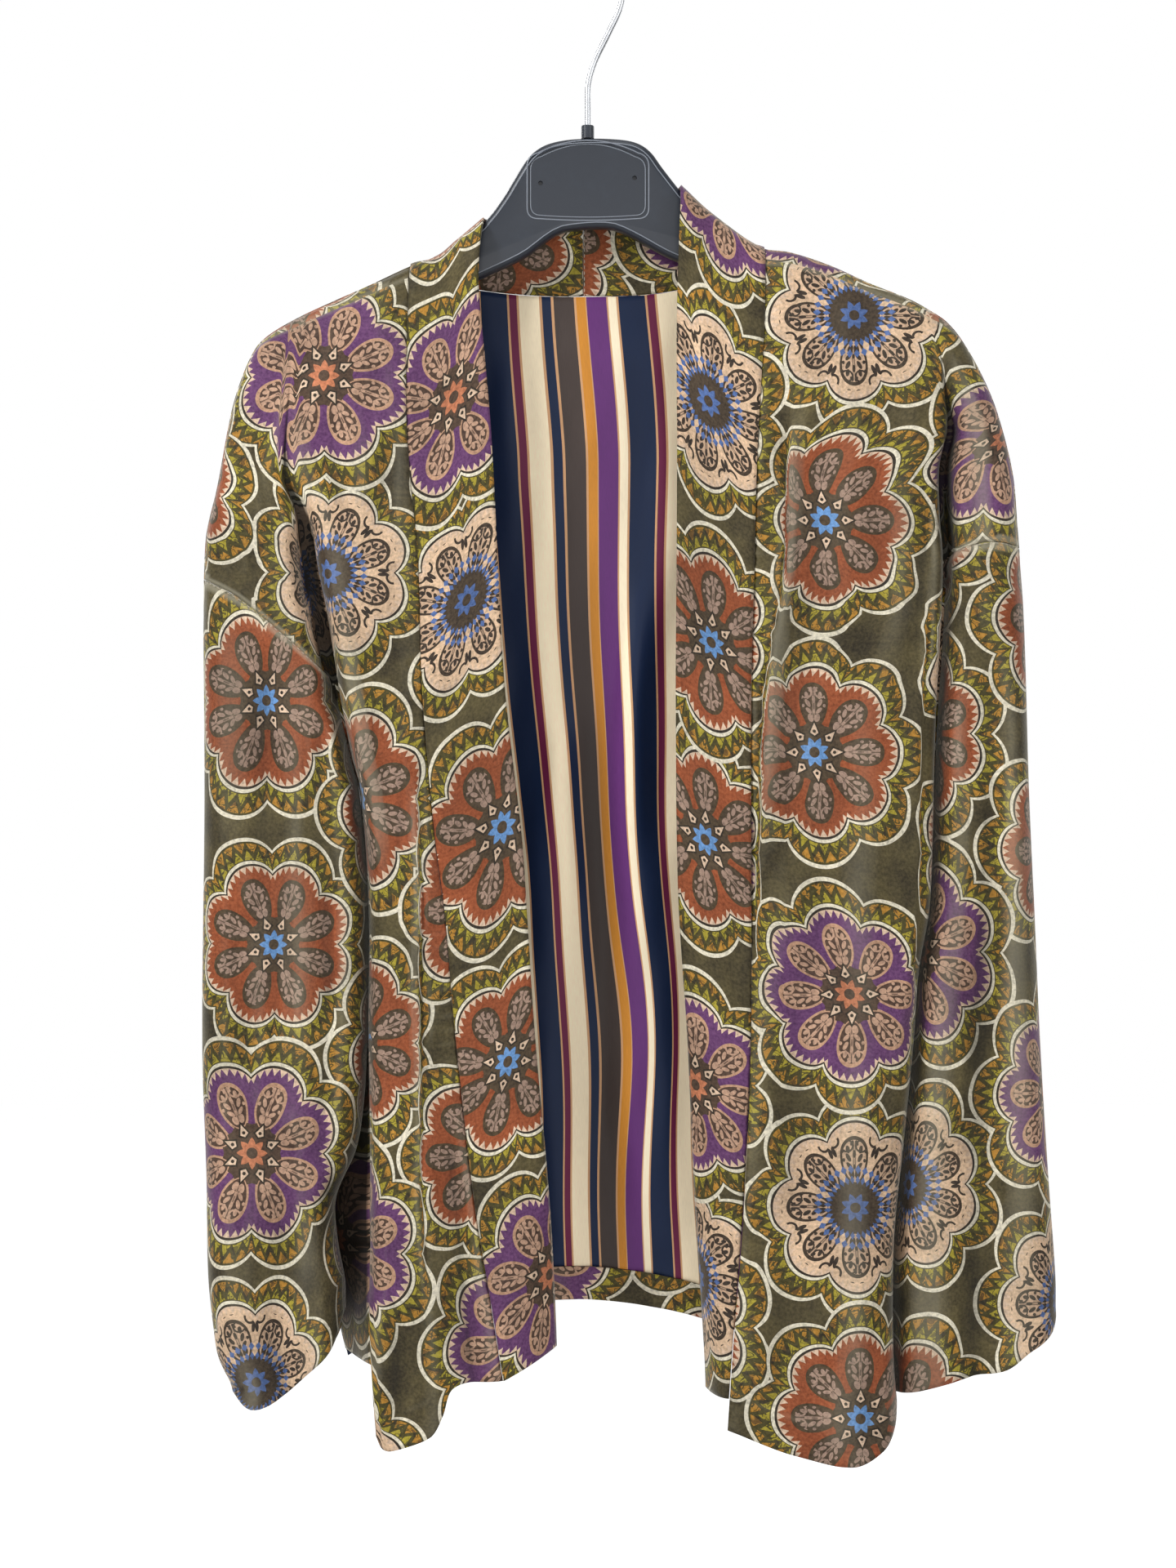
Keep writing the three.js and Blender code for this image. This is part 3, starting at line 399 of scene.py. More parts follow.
def foldRelief(folds, x, drop):
    # Each fold: line of (drop, x), height of its ridge, depth of its trough beside it, width,
    # lean (+1 puts the ridge on the side of rising x), and how sharp the trough is. In a tuck
    # the cloth on the ridge's side lies over the other side with a clear edge.
    total = np.zeros(x.shape)
    for k, fold in enumerate(folds):
        line = np.array(fold["line"], float)
        steps = np.linspace(0, 1, 26)
        stops = np.linspace(0, 1, len(line))
        if len(line) > 2:
            points = np.stack([smoothAt(stops, line[:, 1], steps), smoothAt(stops, line[:, 0], steps)], -1)
        else:
            points = mix(line[0][::-1], line[1][::-1], steps[:, None])
        points[:, 0] += fold.get("wander", 0.8) * np.sin(points[:, 1] / 17 + k * 1.9)
        distance, place, turn = pathDistance(points, x, drop)
        side = distance * turn * fold.get("lean", 1)
        width = fold["width"] * (1 + 0.22 * np.sin(place * 9 + k))
        fadeIn = ease(0, fold.get("fadeIn", 0.25), place)
        fadeOut = ease(0, fold.get("fadeOut", 0.3), 1 - place)
        body = fadeIn * fadeOut * (1 + 0.2 * np.sin(place * 13 + k * 2.3))
        if fold.get("tuck"):
            over = fold["ridge"] * np.exp(-np.maximum(side, 0) / (2.4 * width))
            under = fold["trough"] * np.exp(np.minimum(side, 0) / width)
            total += body * mix(-under, over, ease(-1.2, 1.2, side))
            continue
        trough = np.exp(-(np.abs(side / width) ** fold.get("sharp", 1.6)))
        ridge = np.exp(-((side / width - 1.9) / 1.35) ** 2)
        total += body * (fold.get("ridge", 0) * ridge - fold.get("trough", 0) * trough)
    return total


def mainRelief(sheet, x, drop):
    depth = np.zeros(x.shape)
    for on, height, width, line in mainFolds:
        if on != sheet:
            continue
        drops, xs = np.array(line, float).T
        inside = (drop >= drops[0]) & (drop <= drops[-1] + 20)
        across = (x - smoothAt(drops, xs, drop)) / width
        fade = ease(drops[0], drops[0] + 60, drop)
        if drops[-1] <= 740:
            fade = fade * (1 - ease(drops[-1] - 60, drops[-1], drop))
        depth += inside * height * fade * np.exp(-across ** 2)
    return depth


armhole = {
    "deeper": 1.5,
    "most": 0.97,
    "reach": 7.0,  # round beside the crease at the armhole, and lower down
    "reachLow": 11.0,
    "channel": {  # half width of the crease's dark bottom
        "right": Table("drop width", [
            (280, 0), (315, 2.2), (350, 4.8), (395, 4.8), (430, 3.2), (480, 1.2), (560, 0),
        ]),
        "left": Table("drop width", [(250, 0), (275, 1.8), (330, 2.6), (400, 2.2), (480, 1.2), (560, 0)]),
    },
}


def bodyDepth(sheet, x, drop, below=None, extra=0.0):
    depth = np.zeros(x.shape)
    for side in sign:
        here = x < centreBack if side == "right" else x >= centreBack
        distance, _, _ = pathDistance(outlineDots[side], x, drop)
        opened = roll(distance / edgeRound)
        fromCrease = np.abs(x - crease[side].at("drop", drop, "x"))
        pinch = np.minimum(crease[side].at("drop", drop, "pinch") * armhole["deeper"], armhole["most"])
        if below is not None:
            pinch = np.where(below, 1.0, pinch)
        reach = mix(armhole["reach"], armhole["reachLow"], ease(0, 200, drop - underarm[side]))
        channel = armhole["channel"][side].at("drop", drop, "width")
        beside = roll((fromCrease - channel) / reach)
        calm = opened * (1 - pinch * (1 - beside))
        full = hangDepth.at("drop", drop, sheet) + (mainRelief(sheet, x, drop) + extra) * beside
        depth = np.where(here, full * calm, depth)
    return np.maximum(depth, 0.25)


# Meshes.

# How the painted shade in creases and the painted highlight on ridges are found.
foldShade = {"reaches": (1, 2, 4, 7, 10), "steep": 0.62, "sharp": 0.5}


def foldShadeAndHighlight(points, outward):
    # Painted shade and painted highlight for the fold attribute: 1 deep in a crease, where cloth rises on
    # both sides, and down to -1 on a sharp ridge.
    depth = points[..., 1] * outward
    tone = np.zeros(depth.shape)
    for axis in (0, 1):
        for reach in foldShade["reaches"]:
            slopes = []
            for way in (-reach, reach):
                index = np.clip(np.arange(depth.shape[axis]) + way, 0, depth.shape[axis] - 1)
                other = np.take(depth, index, axis)
                gap = np.linalg.norm((np.take(points, index, axis) - points)[..., [0, 2]], axis=-1)
                slopes.append(np.nan_to_num((other - depth) / np.maximum(gap, 1.0)))
            rise = np.maximum(np.minimum(*slopes), 0) / foldShade["steep"]
            fall = np.maximum(np.minimum(-slopes[0], -slopes[1]), 0) / foldShade["sharp"]
            tone = np.where(rise > np.abs(tone), rise, np.where(fall > np.abs(tone), -fall, tone))
    return np.clip(tone, -1, 1)


def meshFromGrid(name, points, uv, wrap=False, flip=False, skip=None, hem=None, tone=None):
    rows, columns = points.shape[:2]
    here = ~np.isnan(points[..., 0])
    index = np.full((rows, columns), -1)
    index[here] = np.arange(here.sum())
    a, b = index[:-1, :-1], index[:-1, 1:]
    c, d = index[1:, 1:], index[1:, :-1]
    quads = np.stack([a, b, c, d], -1)
    cellUv = np.stack([uv[:-1, :-1], uv[:-1, 1:], uv[1:, 1:], uv[1:, :-1]], 2)
    if skip is not None:
        cellUv = cellUv + skip[:, :, None, :]
    whole = (quads >= 0).all(-1)
    quads, cellUv = quads[whole], cellUv[whole]
    if flip:
        quads, cellUv = quads[:, ::-1], cellUv[:, ::-1]
    mesh = bpy.data.meshes.new(name)
    mesh.from_pydata((points[here] * 0.001).tolist(), [], quads.tolist())
    layer = mesh.uv_layers.new(name="cloth")
    layer.data.foreach_set("uv", (cellUv.reshape(-1, 2) * 0.001).ravel())
    # The fold attribute carries painted shade and painted highlight to the materials.
    if tone is not None:
        values = mesh.attributes.new("fold", "FLOAT", "POINT")
        values.data.foreach_set("value", tone[here].astype(np.float32))
    obj = bpy.data.objects.new(name, mesh)
    bpy.context.collection.objects.link(obj)
    if hem is not None:
        group = obj.vertex_groups.new(name="hem")
        for k, weight in enumerate(hem[here]):
            if weight > 0.01:
                group.add([k], float(weight), "REPLACE")
    if wrap:
        work = bmesh.new()
        work.from_mesh(mesh)
        bmesh.ops.remove_doubles(work, verts=work.verts, dist=2e-5)
        work.to_mesh(mesh)
        work.free()
    return obj


def slack(points, axis, start):
    # How much longer the cloth is than its view in the hanging plane, added up from a start.
    steps = np.diff(points, axis=axis)
    extra = np.linalg.norm(steps, axis=-1) - np.hypot(steps[..., 0], steps[..., 2])
    shape = list(points.shape[:2])
    shape[axis] = 1
    total = np.concatenate([np.zeros(shape), np.cumsum(np.nan_to_num(extra), axis)], axis)
    return total - np.take(total, [start], axis)


def clothPlaces(points, fromColumn, fromRow, resets=()):
    # Places on the flat cloth. Beyond each reset, a column hidden in a crease, the count starts again.
    across = np.abs(slack(points, 1, fromColumn))
    columns = np.arange(points.shape[1])
    for column, share in resets:
        outwards = (columns - column) * (1 if column > fromColumn else -1)
        across -= across[:, [column]] * share[:, None] * ease(-5, 5, outwards)[None]
    outward = np.sign(points[..., 0] - points[:, [fromColumn], 0])
    down = slack(points, 0, fromRow)
    return np.stack([points[..., 0] + np.nan_to_num(outward) * across, points[..., 2] - down], -1)


def stripPlaces(points, middle):
    # A strip cut straight: its length is counted along one column.
    across = np.linalg.norm(np.diff(points, axis=1), axis=-1)
    along = np.linalg.norm(np.diff(points[:, middle], axis=0), axis=-1)
    u = np.concatenate([np.zeros((points.shape[0], 1)), np.cumsum(across, 1)], 1)
    v = np.concatenate([[0], np.cumsum(along)])
    return np.stack([u, np.broadcast_to(v[:, None], u.shape)], -1)


def finishMesh(obj):
    graph = bpy.context.evaluated_depsgraph_get()
    graph.update()
    mesh = bpy.data.meshes.new_from_object(obj.evaluated_get(graph), depsgraph=graph)
    old = obj.data
    obj.modifiers.clear()
    obj.data = mesh
    bpy.data.meshes.remove(old)
    mesh.name = obj.name
    mesh.shade_smooth()


def thicken(obj, thickness, insideMaterial=True):
    solidify = obj.modifiers.new("cloth thickness", "SOLIDIFY")
    solidify.thickness = thickness * 0.001
    if "hem" in obj.vertex_groups:
        solidify.vertex_group = "hem"
        solidify.thickness_vertex_group = hemLook["thin"]
        solidify.thickness *= 1 / hemLook["thin"]
    solidify.offset = 0
    solidify.use_even_offset = True
    solidify.thickness_clamp = 2
    solidify.use_rim = True
    solidify.material_offset = 1 if insideMaterial else 0
    finishMesh(obj)


# The edge is thicker than the cloth, and the stitched turn shows as a low ridge.
hemLook = {"thin": 0.6, "roll": 3.5, "turn": 20.0, "cuffTurn": 14.0, "ridge": 0.55, "ridgeWidth": 2.2}


def hemRelief(toHem, turn):
    return hemLook["ridge"] * np.exp(-((toHem - turn) / hemLook["ridgeWidth"]) ** 2)


def clothArea(obj):
    return sum(face.area for face in obj.data.polygons) / 2


def settle(obj, node, piece, restsOn):
    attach(obj, "root")
    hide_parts(node)
    facts = dict(flat=piece["flat"], held="hung", rests_on=restsOn)
    if "area" in piece:
        facts["area"] = piece["area"]
    print(f"{obj.name}: cloth area {clothArea(obj):.4f}, faces {len(obj.data.polygons)}")


# Shader helpers.

class Wire:
    def __init__(self, tree, socket):
        self.tree, self.socket = tree, socket

    def op(self, name, *others):
        node = self.tree.nodes.new("ShaderNodeMath")
        node.operation = name
        for k, value in enumerate((self, *others)):
            feed(self.tree, node.inputs[k], value)
        return Wire(self.tree, node.outputs[0])

    def __add__(self, other): return self.op("ADD", other)
    def __radd__(self, other): return self.op("ADD", other)
    def __sub__(self, other): return self.op("SUBTRACT", other)
    def __mul__(self, other): return self.op("MULTIPLY", other)
    def __rmul__(self, other): return self.op("MULTIPLY", other)
    def __truediv__(self, other): return self.op("DIVIDE", other)
    def __lt__(self, other): return self.op("LESS_THAN", other)
    def __gt__(self, other): return self.op("GREATER_THAN", other)
    def __abs__(self): return self.op("ABSOLUTE")

    def times(self, factor, plus): return self.op("MULTIPLY_ADD", factor, plus)
    def near(self, centre, within): return self.op("COMPARE", centre, within)


def feed(tree, socket, value):
    if isinstance(value, Wire):
        tree.links.new(value.socket, socket)
    elif isinstance(value, bpy.types.NodeSocket):
        tree.links.new(value, socket)
    elif isinstance(value, tuple) and len(value) == 3 and socket.type == "RGBA":
        socket.default_value = (*value, 1)
    else:
        socket.default_value = value


def node(tree, kind, inputs=None, **settings):
    made = tree.nodes.new(kind)
    for name, value in settings.items():
        setattr(made, name, value)
    for name, value in (inputs or {}).items():
        feed(tree, made.inputs[name], value)
    return made


def blendColours(tree, factor, a, b, mode="MIX"):
    made = tree.nodes.new("ShaderNodeMix")
    made.data_type = "RGBA"
    made.blend_type = mode
    feed(tree, made.inputs[0], factor)
    feed(tree, made.inputs[6], a)
    feed(tree, made.inputs[7], b)
    return made.outputs[2]


def blendValues(tree, factor, a, b):
    made = tree.nodes.new("ShaderNodeMix")
    feed(tree, made.inputs[0], factor)
    feed(tree, made.inputs[2], a)
    feed(tree, made.inputs[3], b)
    return Wire(tree, made.outputs[0])


def colour(red, green, blue):
    def linear(value):
        value /= 255
        return value / 12.92 if value <= 0.04045 else ((value + 0.055) / 1.055) ** 2.4
    return (linear(red), linear(green), linear(blue))


def newGroup(name, inputs, outputs):
    tree = bpy.data.node_groups.new(name, "ShaderNodeTree")
    for title, kind, start in inputs:
        socket = tree.interface.new_socket(title, in_out="INPUT", socket_type=kind)
        if start is not None:
            socket.default_value = start
    for title, kind in outputs:
        tree.interface.new_socket(title, in_out="OUTPUT", socket_type=kind)
    return tree, tree.nodes.new("NodeGroupInput"), tree.nodes.new("NodeGroupOutput")


def noiseIn(tree, place, scale, detail=2.0, roughness=0.5, distortion=0.0):
    return node(tree, "ShaderNodeTexNoise", {
        "Vector": place, "Scale": scale, "Detail": detail, "Roughness": roughness,
        "Distortion": distortion,
    })


# The print: scalloped rosettes in a half-drop repeat on mottled olive velvet.

printPlan = {
    "columnPitch": 108.0,
    "rowPitch": 122.0,
    "radius": 64.0,  # what the shapes below are drawn for
    "sizes": (65, 68, 64, 62),
    "stray": 19.0,  # how far a rosette may sit off the regular repeat
    "lobeCentre": 43.0,
    "lobeRadius": 21.0,
    "teeth": 4.5,  # in half a lobe
    "chevrons": 3.5,
    "wobble": 2.6,
    "inner": 1.1,  # how far the petals and middle draw in from the rings
    "rings": (1.0, 0.964, 0.774, 0.744, 0.722),  # outer line, braid, inner line, dark line, field
    "teethFrom": 0.655,
}
printColours = {
    "ground": colour(88, 79, 50),
    "groundDark": colour(57, 50, 33),
    "line": colour(220, 212, 190),
    "olive": colour(70, 64, 30),
    "yellow": colour(160, 146, 48),
    "ochre": colour(172, 124, 46),
    "dark": colour(44, 37, 29),
    "tooth": colour(212, 184, 158),
    "field": (colour(144, 74, 42), colour(96, 56, 100), colour(216, 184, 152)),
    "border": (colour(72, 58, 40), colour(184, 144, 116), colour(58, 46, 36)),
    "body": (colour(74, 60, 46), colour(76, 56, 46), colour(196, 164, 136)),
    "motif": (colour(156, 130, 114), colour(184, 148, 124), colour(52, 42, 35)),
    "heart": (colour(76, 62, 46), colour(76, 58, 46), colour(66, 54, 42)),
    "star": (colour(102, 146, 198), colour(186, 116, 82), colour(78, 104, 156)),
}


def rosettePrint():
    plan, colours = printPlan, printColours
    tree, inward, outward = newGroup(
        "rosette print",
        [("Place", "NodeSocketVector", None), ("Fading", "NodeSocketFloat", 0.2)],
        [("Colour", "NodeSocketColor")],
    )
    place = inward.outputs["Place"]
    drift = noiseIn(tree, place, 26.0, 1.0)
    split = node(tree, "ShaderNodeSeparateXYZ", {0: drift.outputs["Color"]})
    axes = node(tree, "ShaderNodeSeparateXYZ", {0: place})
    wobble = plan["wobble"]
    x = Wire(tree, axes.outputs[0]).times(1000.0, Wire(tree, split.outputs[0]) * wobble)
    y = Wire(tree, axes.outputs[1]).times(1000.0, Wire(tree, split.outputs[1]) * wobble)
    eighth = math.pi / 4
    c, rho = plan["lobeCentre"], plan["lobeRadius"]

    def lattice(shiftX, shiftY, size, turn, plain, other):
        column = ((x - shiftX) / (2 * plan["columnPitch"])).op("ROUND")
        row = ((y - shiftY) / (2 * plan["rowPitch"])).op("ROUND")
        cell = node(tree, "ShaderNodeCombineXYZ", {0: column + shiftX, 1: row + shiftY})
        chance = node(tree, "ShaderNodeTexWhiteNoise", {"Vector": cell.outputs[0]}, noise_dimensions="2D")
        nudge = node(tree, "ShaderNodeSeparateXYZ", {0: chance.outputs["Color"]})
        scale = plan["radius"] / size
        stray = plan["stray"]
        moveX = Wire(tree, nudge.outputs[0]).times(stray, shiftX - stray / 2)
        moveY = Wire(tree, nudge.outputs[1]).times(stray, shiftY - stray / 2)
        qx = (x - column * (2 * plan["columnPitch"]) - moveX) * scale
        qy = (y - row * (2 * plan["rowPitch"]) - moveY) * scale
        radius = (qx * qx + qy * qy).op("SQRT")
        angle = qy.op("ARCTAN2", qx) + turn
        angle = abs(angle - (angle / eighth).op("ROUND") * eighth)
        px, py = radius * angle.op("COSINE"), radius * angle.op("SINE")
        root = ((px * px) * (c * c) - (radius * radius) * (c * c - rho * rho)).op("MAXIMUM", 0.0)
        reach = (radius * radius) / ((px * c + root.op("SQRT")).op("MAXIMUM", 0.01))
        even = abs(column + row).op("MODULO", 2.0)
        return px, py, reach, even * (other - plain) + plain

    stepX, stepY = plan["columnPitch"], plan["rowPitch"]
    layers = [
        lattice(stepX, stepY * 1.5, plan["sizes"][3], eighth / 2, 0.0, 2.0),
        lattice(0.0, stepY, plan["sizes"][2], 0.0, 2.0, 0.0),
        lattice(stepX, stepY * 0.5, plan["sizes"][1], eighth / 2, 1.0, 0.0),
        lattice(0.0, 0.0, plan["sizes"][0], 0.0, 0.0, 1.0),
    ]
    chosen = layers[0]
    for layer in layers[1:]:
        onTop = layer[2] < 1.0
        chosen = [blendValues(tree, onTop, a, b) for a, b in zip(chosen, layer)]
    px, py, reach, kind = chosen
    purple, cream = kind.near(1.0, 0.5), kind.near(2.0, 0.5)
    radius = (px * px + py * py).op("SQRT")
    angle = py.op("ARCTAN2", px)
    lobeAngle = py.op("ARCTAN2", px - reach * c) / 1.293

    def kindColour(name):
        rust, violet, pale = colours[name]
        return blendColours(tree, cream, blendColours(tree, purple, rust, violet), pale)

    fine = noiseIn(tree, place, 560.0, 3.0, 0.6)
    scratch = Wire(tree, noiseIn(tree, place, 210.0, 1.0, 0.4, 0.6).outputs["Fac"])
    cloudy = Wire(tree, noiseIn(tree, place, 34.0, 3.0, 0.6).outputs["Fac"])
    patchy = ((cloudy - 0.36) * 3.2).op("MINIMUM", 1.0)
    ground = blendColours(tree, patchy, colours["groundDark"], colours["ground"])

    # Braid between the two outer lines: zigzag stem with yellow and ochre leaves either side.
    across = (reach - 0.765) / 0.2
    zig = abs((lobeAngle * plan["chevrons"]).op("FRACT") - 0.5) * 2.0
    leafLow = across < zig * 0.56 + 0.02
    leafHigh = across > zig * 0.5 + 0.42
    leaf = blendColours(tree, leafHigh, colours["olive"], colours["ochre"])
    leaf = blendColours(tree, leafLow, leaf, colours["yellow"])
    edge = (abs(across - 0.5) > 0.4) + abs(scratch - 0.5).near(0.0, 0.026) + abs(zig - across).near(0.0, 0.05)
    braid = blendColours(tree, edge.op("MINIMUM", 1.0), leaf, colours["olive"])
    speck = (scratch > 0.6) * (across > 0.2)
    braid = blendColours(tree, speck * 0.7, braid, colours["dark"])

    result = ground
    fills = (colours["line"], braid, colours["line"], colours["dark"], kindColour("field"))
    for ringEdge, fill in zip(plan["rings"], fills):
        result = blendColours(tree, reach < ringEdge, result, fill)
    tooth = 1.0 + abs((lobeAngle * plan["teeth"] + 0.5).op("FRACT") - 0.5) * -2.0
    field, teethFrom = plan["rings"][-1], plan["teethFrom"]
    isTooth = ((reach - teethFrom) / (field - teethFrom) + tooth > 1.0) * (reach < field)
    result = blendColours(tree, isTooth, result, colours["tooth"])

    # Petals: an egg on each lobe's axis.
    px, py, radius = px * plan["inner"], py * plan["inner"], radius * plan["inner"]
    width = (px - 28.0) * 0.014 + 0.93
    egg = (((px - 28.0) / 14.6).op("POWER", 2.0) + (py / (width * 9.2)).op("POWER", 2.0)).op("SQRT")
    result = blendColours(tree, egg < 1.0, result, kindColour("border"))
    result = blendColours(tree, egg < 0.84, result, kindColour("body"))

    def blob(cx, cy, rx, ry, turn=0.0):
        cosine, sine = math.cos(turn), math.sin(turn)
        along = (px - cx) * (cosine / rx) + (py - cy) * (sine / rx)
        aside = (py - cy) * (cosine / ry) - (px - cx) * (sine / ry)
        return along * along + aside * aside

    motif = None
    shapes = [
        (20.5, 1.9, 2.6, 1.7, 0.3), (25.0, 3.0, 2.5, 1.15, 0.75), (29.8, 3.6, 2.7, 1.2, 0.5),
        (34.6, 3.9, 2.3, 1.2, 0.2), (38.4, 1.5, 1.7, 0.9, -0.4), (24.6, 0.0, 1.4, 0.8, 0.0),
        (32.0, 0.0, 2.2, 1.0, 0.0), (28.2, 6.4, 1.1, 0.9, 0.0), (33.4, 7.2, 1.0, 0.8, 0.0),
    ]
    for shape in shapes:
        piece = blob(*shape) < 1.0
        motif = piece if motif is None else motif.op("MAXIMUM", piece)
    ring = abs(blob(36.6, 4.4, 3.4, 3.4).op("SQRT") - 1.0) < 0.16
    stem = (abs(py - 0.55) < 0.35) * (abs(px - 30.0) < 9.5)
    motif = motif.op("MAXIMUM", ring).op("MAXIMUM", stem * 0.7) * (egg < 0.84)
    scroll = abs(blob(39.5, 12.6, 3.6, 3.0).op("SQRT") - 1.0) < 0.22
    scroll = scroll.op("MAXIMUM", blob(33.0, 12.4, 3.4, 1.2, 0.45) < 1.0)
    scroll = scroll.op("MAXIMUM", blob(45.0, 8.2, 2.0, 1.0, -0.9) < 1.0)
    scroll = scroll.op("MAXIMUM", blob(46.0, 3.0, 1.2, 1.6, 0.2) < 1.0)
    motif = motif.op("MAXIMUM", scroll * cream * (egg > 1.0) * (reach < 0.65))
    result = blendColours(tree, motif, result, kindColour("motif"))

    # Middle: dark rim, a ring of pale kites and an eight-pointed star.
    heart = radius < 19.0 + angle * -6.0
    result = blendColours(tree, heart * (egg > 0.9), result, kindColour("heart"))
    lozenge = abs((angle * (16.0 / math.pi)).op("FRACT") - 0.5)
    lozenge = lozenge + abs(((radius - 8.0) / 6.0).op("FRACT") - 0.5)
    lattices = (lozenge < 0.42) * (radius < 26.0) * (radius > 14.0) * cream
    result = blendColours(tree, lattices, result, kindColour("star"))
    kite = (py < (px - 8.6) * 1.5).op("MINIMUM", py < (19.4 + px * -1.0) * 0.47)
    kiteInner = (py < (px - 9.8) * 1.4).op("MINIMUM", py < (17.4 + px * -1.0) * 0.43)
    notCream = 1.0 + cream * -1.0
    result = blendColours(tree, kite * notCream, result, colours["dark"])
    result = blendColours(tree, kiteInner * notCream, result, colours["tooth"])
    dot = blob(12.4, 0.0, 1.0, 1.0) < 1.0
    result = blendColours(tree, dot * notCream, result, colours["dark"])
    star = radius < (angle * 9.5 + 5.4)
    result = blendColours(tree, star, result, kindColour("star"))
    result = blendColours(tree, radius < 3.2, result, kindColour("heart"))

    # Worn, hand-printed look: mottling and thin ink.
    grain = Wire(tree, fine.outputs["Fac"])
    fade = inward.outputs["Fading"]
    tone = (grain - 0.5).times(1.9, 1.0) + (cloudy - 0.5) * 0.8
    result = blendColours(tree, 1.0, result, combineTone(tree, tone), "MULTIPLY")
    dusty = ((grain - 0.42) * 2.0).op("MAXIMUM", 0.0) * Wire(tree, fade)
    result = blendColours(tree, dusty.op("MINIMUM", 1.0), result, colour(118, 104, 80))
    tree.links.new(result, outward.inputs["Colour"])
    return tree


def combineTone(tree, tone):
    made = node(tree, "ShaderNodeCombineColor", {0: tone, 1: tone, 2: tone})
    return made.outputs[0]


velvet = {
    "sheen": 0.4,
    "sheenRoughness": 0.36,
    "sheenTint": (0.82, 0.8, 0.7, 1),
    # painted shade in creases and painted highlight on ridges and seam edges
    "paintedCreaseShade": 0.1,
    "paintedRidgeHighlight": 0.22,
    "brushed": (0.74, 1.24),  # dark and light where the pile has been stroked
    "specular": 0.25,
    "bump": 0.35,
    "bumpHeight": 0.0006,
}


def napGroup():
    # Short pile: fine noise with streaks where it has been stroked one way.
    tree, inward, outward = newGroup(
        "velvet nap",
        [("Place", "NodeSocketVector", None), ("Pile", "NodeSocketFloat", 1400.0)],
        [("Height", "NodeSocketFloat"), ("Rough", "NodeSocketFloat"), ("Tone", "NodeSocketFloat")],
    )
    place = inward.outputs["Place"]
    stroked = node(tree, "ShaderNodeMapping", {"Vector": place, "Scale": (1.0, 0.45, 1.0)})
    patches = noiseIn(tree, stroked.outputs[0], 24.0, 4.0, 0.62, 0.4)
    low, high = velvet["brushed"]
    tone = ((Wire(tree, patches.outputs["Fac"]) - 0.5) * 1.9 + 0.5).times(high - low, low)
    tree.links.new(tone.socket, outward.inputs["Tone"])
    stretch = node(tree, "ShaderNodeMapping", {"Vector": place, "Scale": (1.0, 0.35, 1.0)})
    pile = node(tree, "ShaderNodeTexNoise", {
        "Vector": stretch.outputs[0], "Scale": inward.outputs["Pile"], "Detail": 2.0,
    })
    soft = noiseIn(tree, stretch.outputs[0], 55.0, 2.0)
    height = Wire(tree, pile.outputs["Fac"]) + Wire(tree, soft.outputs["Fac"]) * 0.8
    rough = Wire(tree, soft.outputs["Fac"]).times(0.35, 0.5)
    tree.links.new(height.socket, outward.inputs["Height"])
    tree.links.new(rough.socket, outward.inputs["Rough"])
    return tree


rosettes = rosettePrint()
nap = napGroup()
print("print built")


def newMaterial(name):
    material = bpy.data.materials.new(name)
    material.use_nodes = True
    tree = material.node_tree
    return material, tree, tree.nodes["Principled BSDF"]


def addBump(tree, shader, height, strength, distance):
    bump = node(tree, "ShaderNodeBump", {"Strength": strength, "Distance": distance, "Height": height})
    tree.links.new(bump.outputs[0], shader.inputs["Normal"])


def velvetMaterial(name, fading):
    material, tree, shader = newMaterial(name)
    place = node(tree, "ShaderNodeUVMap", uv_map="cloth").outputs[0]
    printed = node(tree, "ShaderNodeGroup", node_tree=rosettes)
    pile = node(tree, "ShaderNodeGroup", node_tree=nap)
    tree.links.new(place, printed.inputs["Place"])
    tree.links.new(place, pile.inputs["Place"])
    printed.inputs["Fading"].default_value = fading
    stroked = combineTone(tree, pile.outputs["Tone"])
    brushed = blendColours(tree, 1.0, printed.outputs["Colour"], stroked, "MULTIPLY")
    # Painted shade darkens the creases and a painted highlight pales the ridges and seam edges, both read
    # from the fold attribute.
    fold = Wire(tree, node(tree, "ShaderNodeAttribute", attribute_name="fold").outputs["Fac"])
    crease = fold.op("MAXIMUM", 0.0).op("MINIMUM", 1.0)
    ridge = (fold * -1.0).op("MAXIMUM", 0.0) * velvet["paintedRidgeHighlight"]
    dark = blendColours(tree, crease, (1, 1, 1), (velvet["paintedCreaseShade"],) * 3)
    withPaintedShade = blendColours(tree, 1.0, brushed, dark, "MULTIPLY")
    paintedHighlight = blendColours(tree, ridge, withPaintedShade, colour(196, 190, 166))
    tree.links.new(paintedHighlight, shader.inputs["Base Color"])
    tree.links.new(pile.outputs["Rough"], shader.inputs["Roughness"])
    shader.inputs["Sheen Weight"].default_value = velvet["sheen"]
    shader.inputs["Sheen Roughness"].default_value = velvet["sheenRoughness"]
    shader.inputs["Sheen Tint"].default_value = velvet["sheenTint"]
    shader.inputs["Specular IOR Level"].default_value = velvet["specular"]
    addBump(tree, shader, pile.outputs["Height"], velvet["bump"], velvet["bumpHeight"])
    return material


stripes = {
    "repeat": 174.0,
    "bands": [
        (0, colour(104, 34, 66)), (9, None), (12, colour(254, 236, 202)), (38, None),
        (41, colour(24, 38, 66)), (53, None), (56, colour(70, 60, 56)), (82, None),
        (84.5, colour(204, 136, 52)), (96, None), (97.5, colour(100, 52, 114)), (123, None),
        (125, colour(254, 238, 206)), (135, None), (137.5, colour(22, 36, 64)), (171, None),
    ],
    "thread": colour(206, 158, 116),
    "width": 79.0,
}


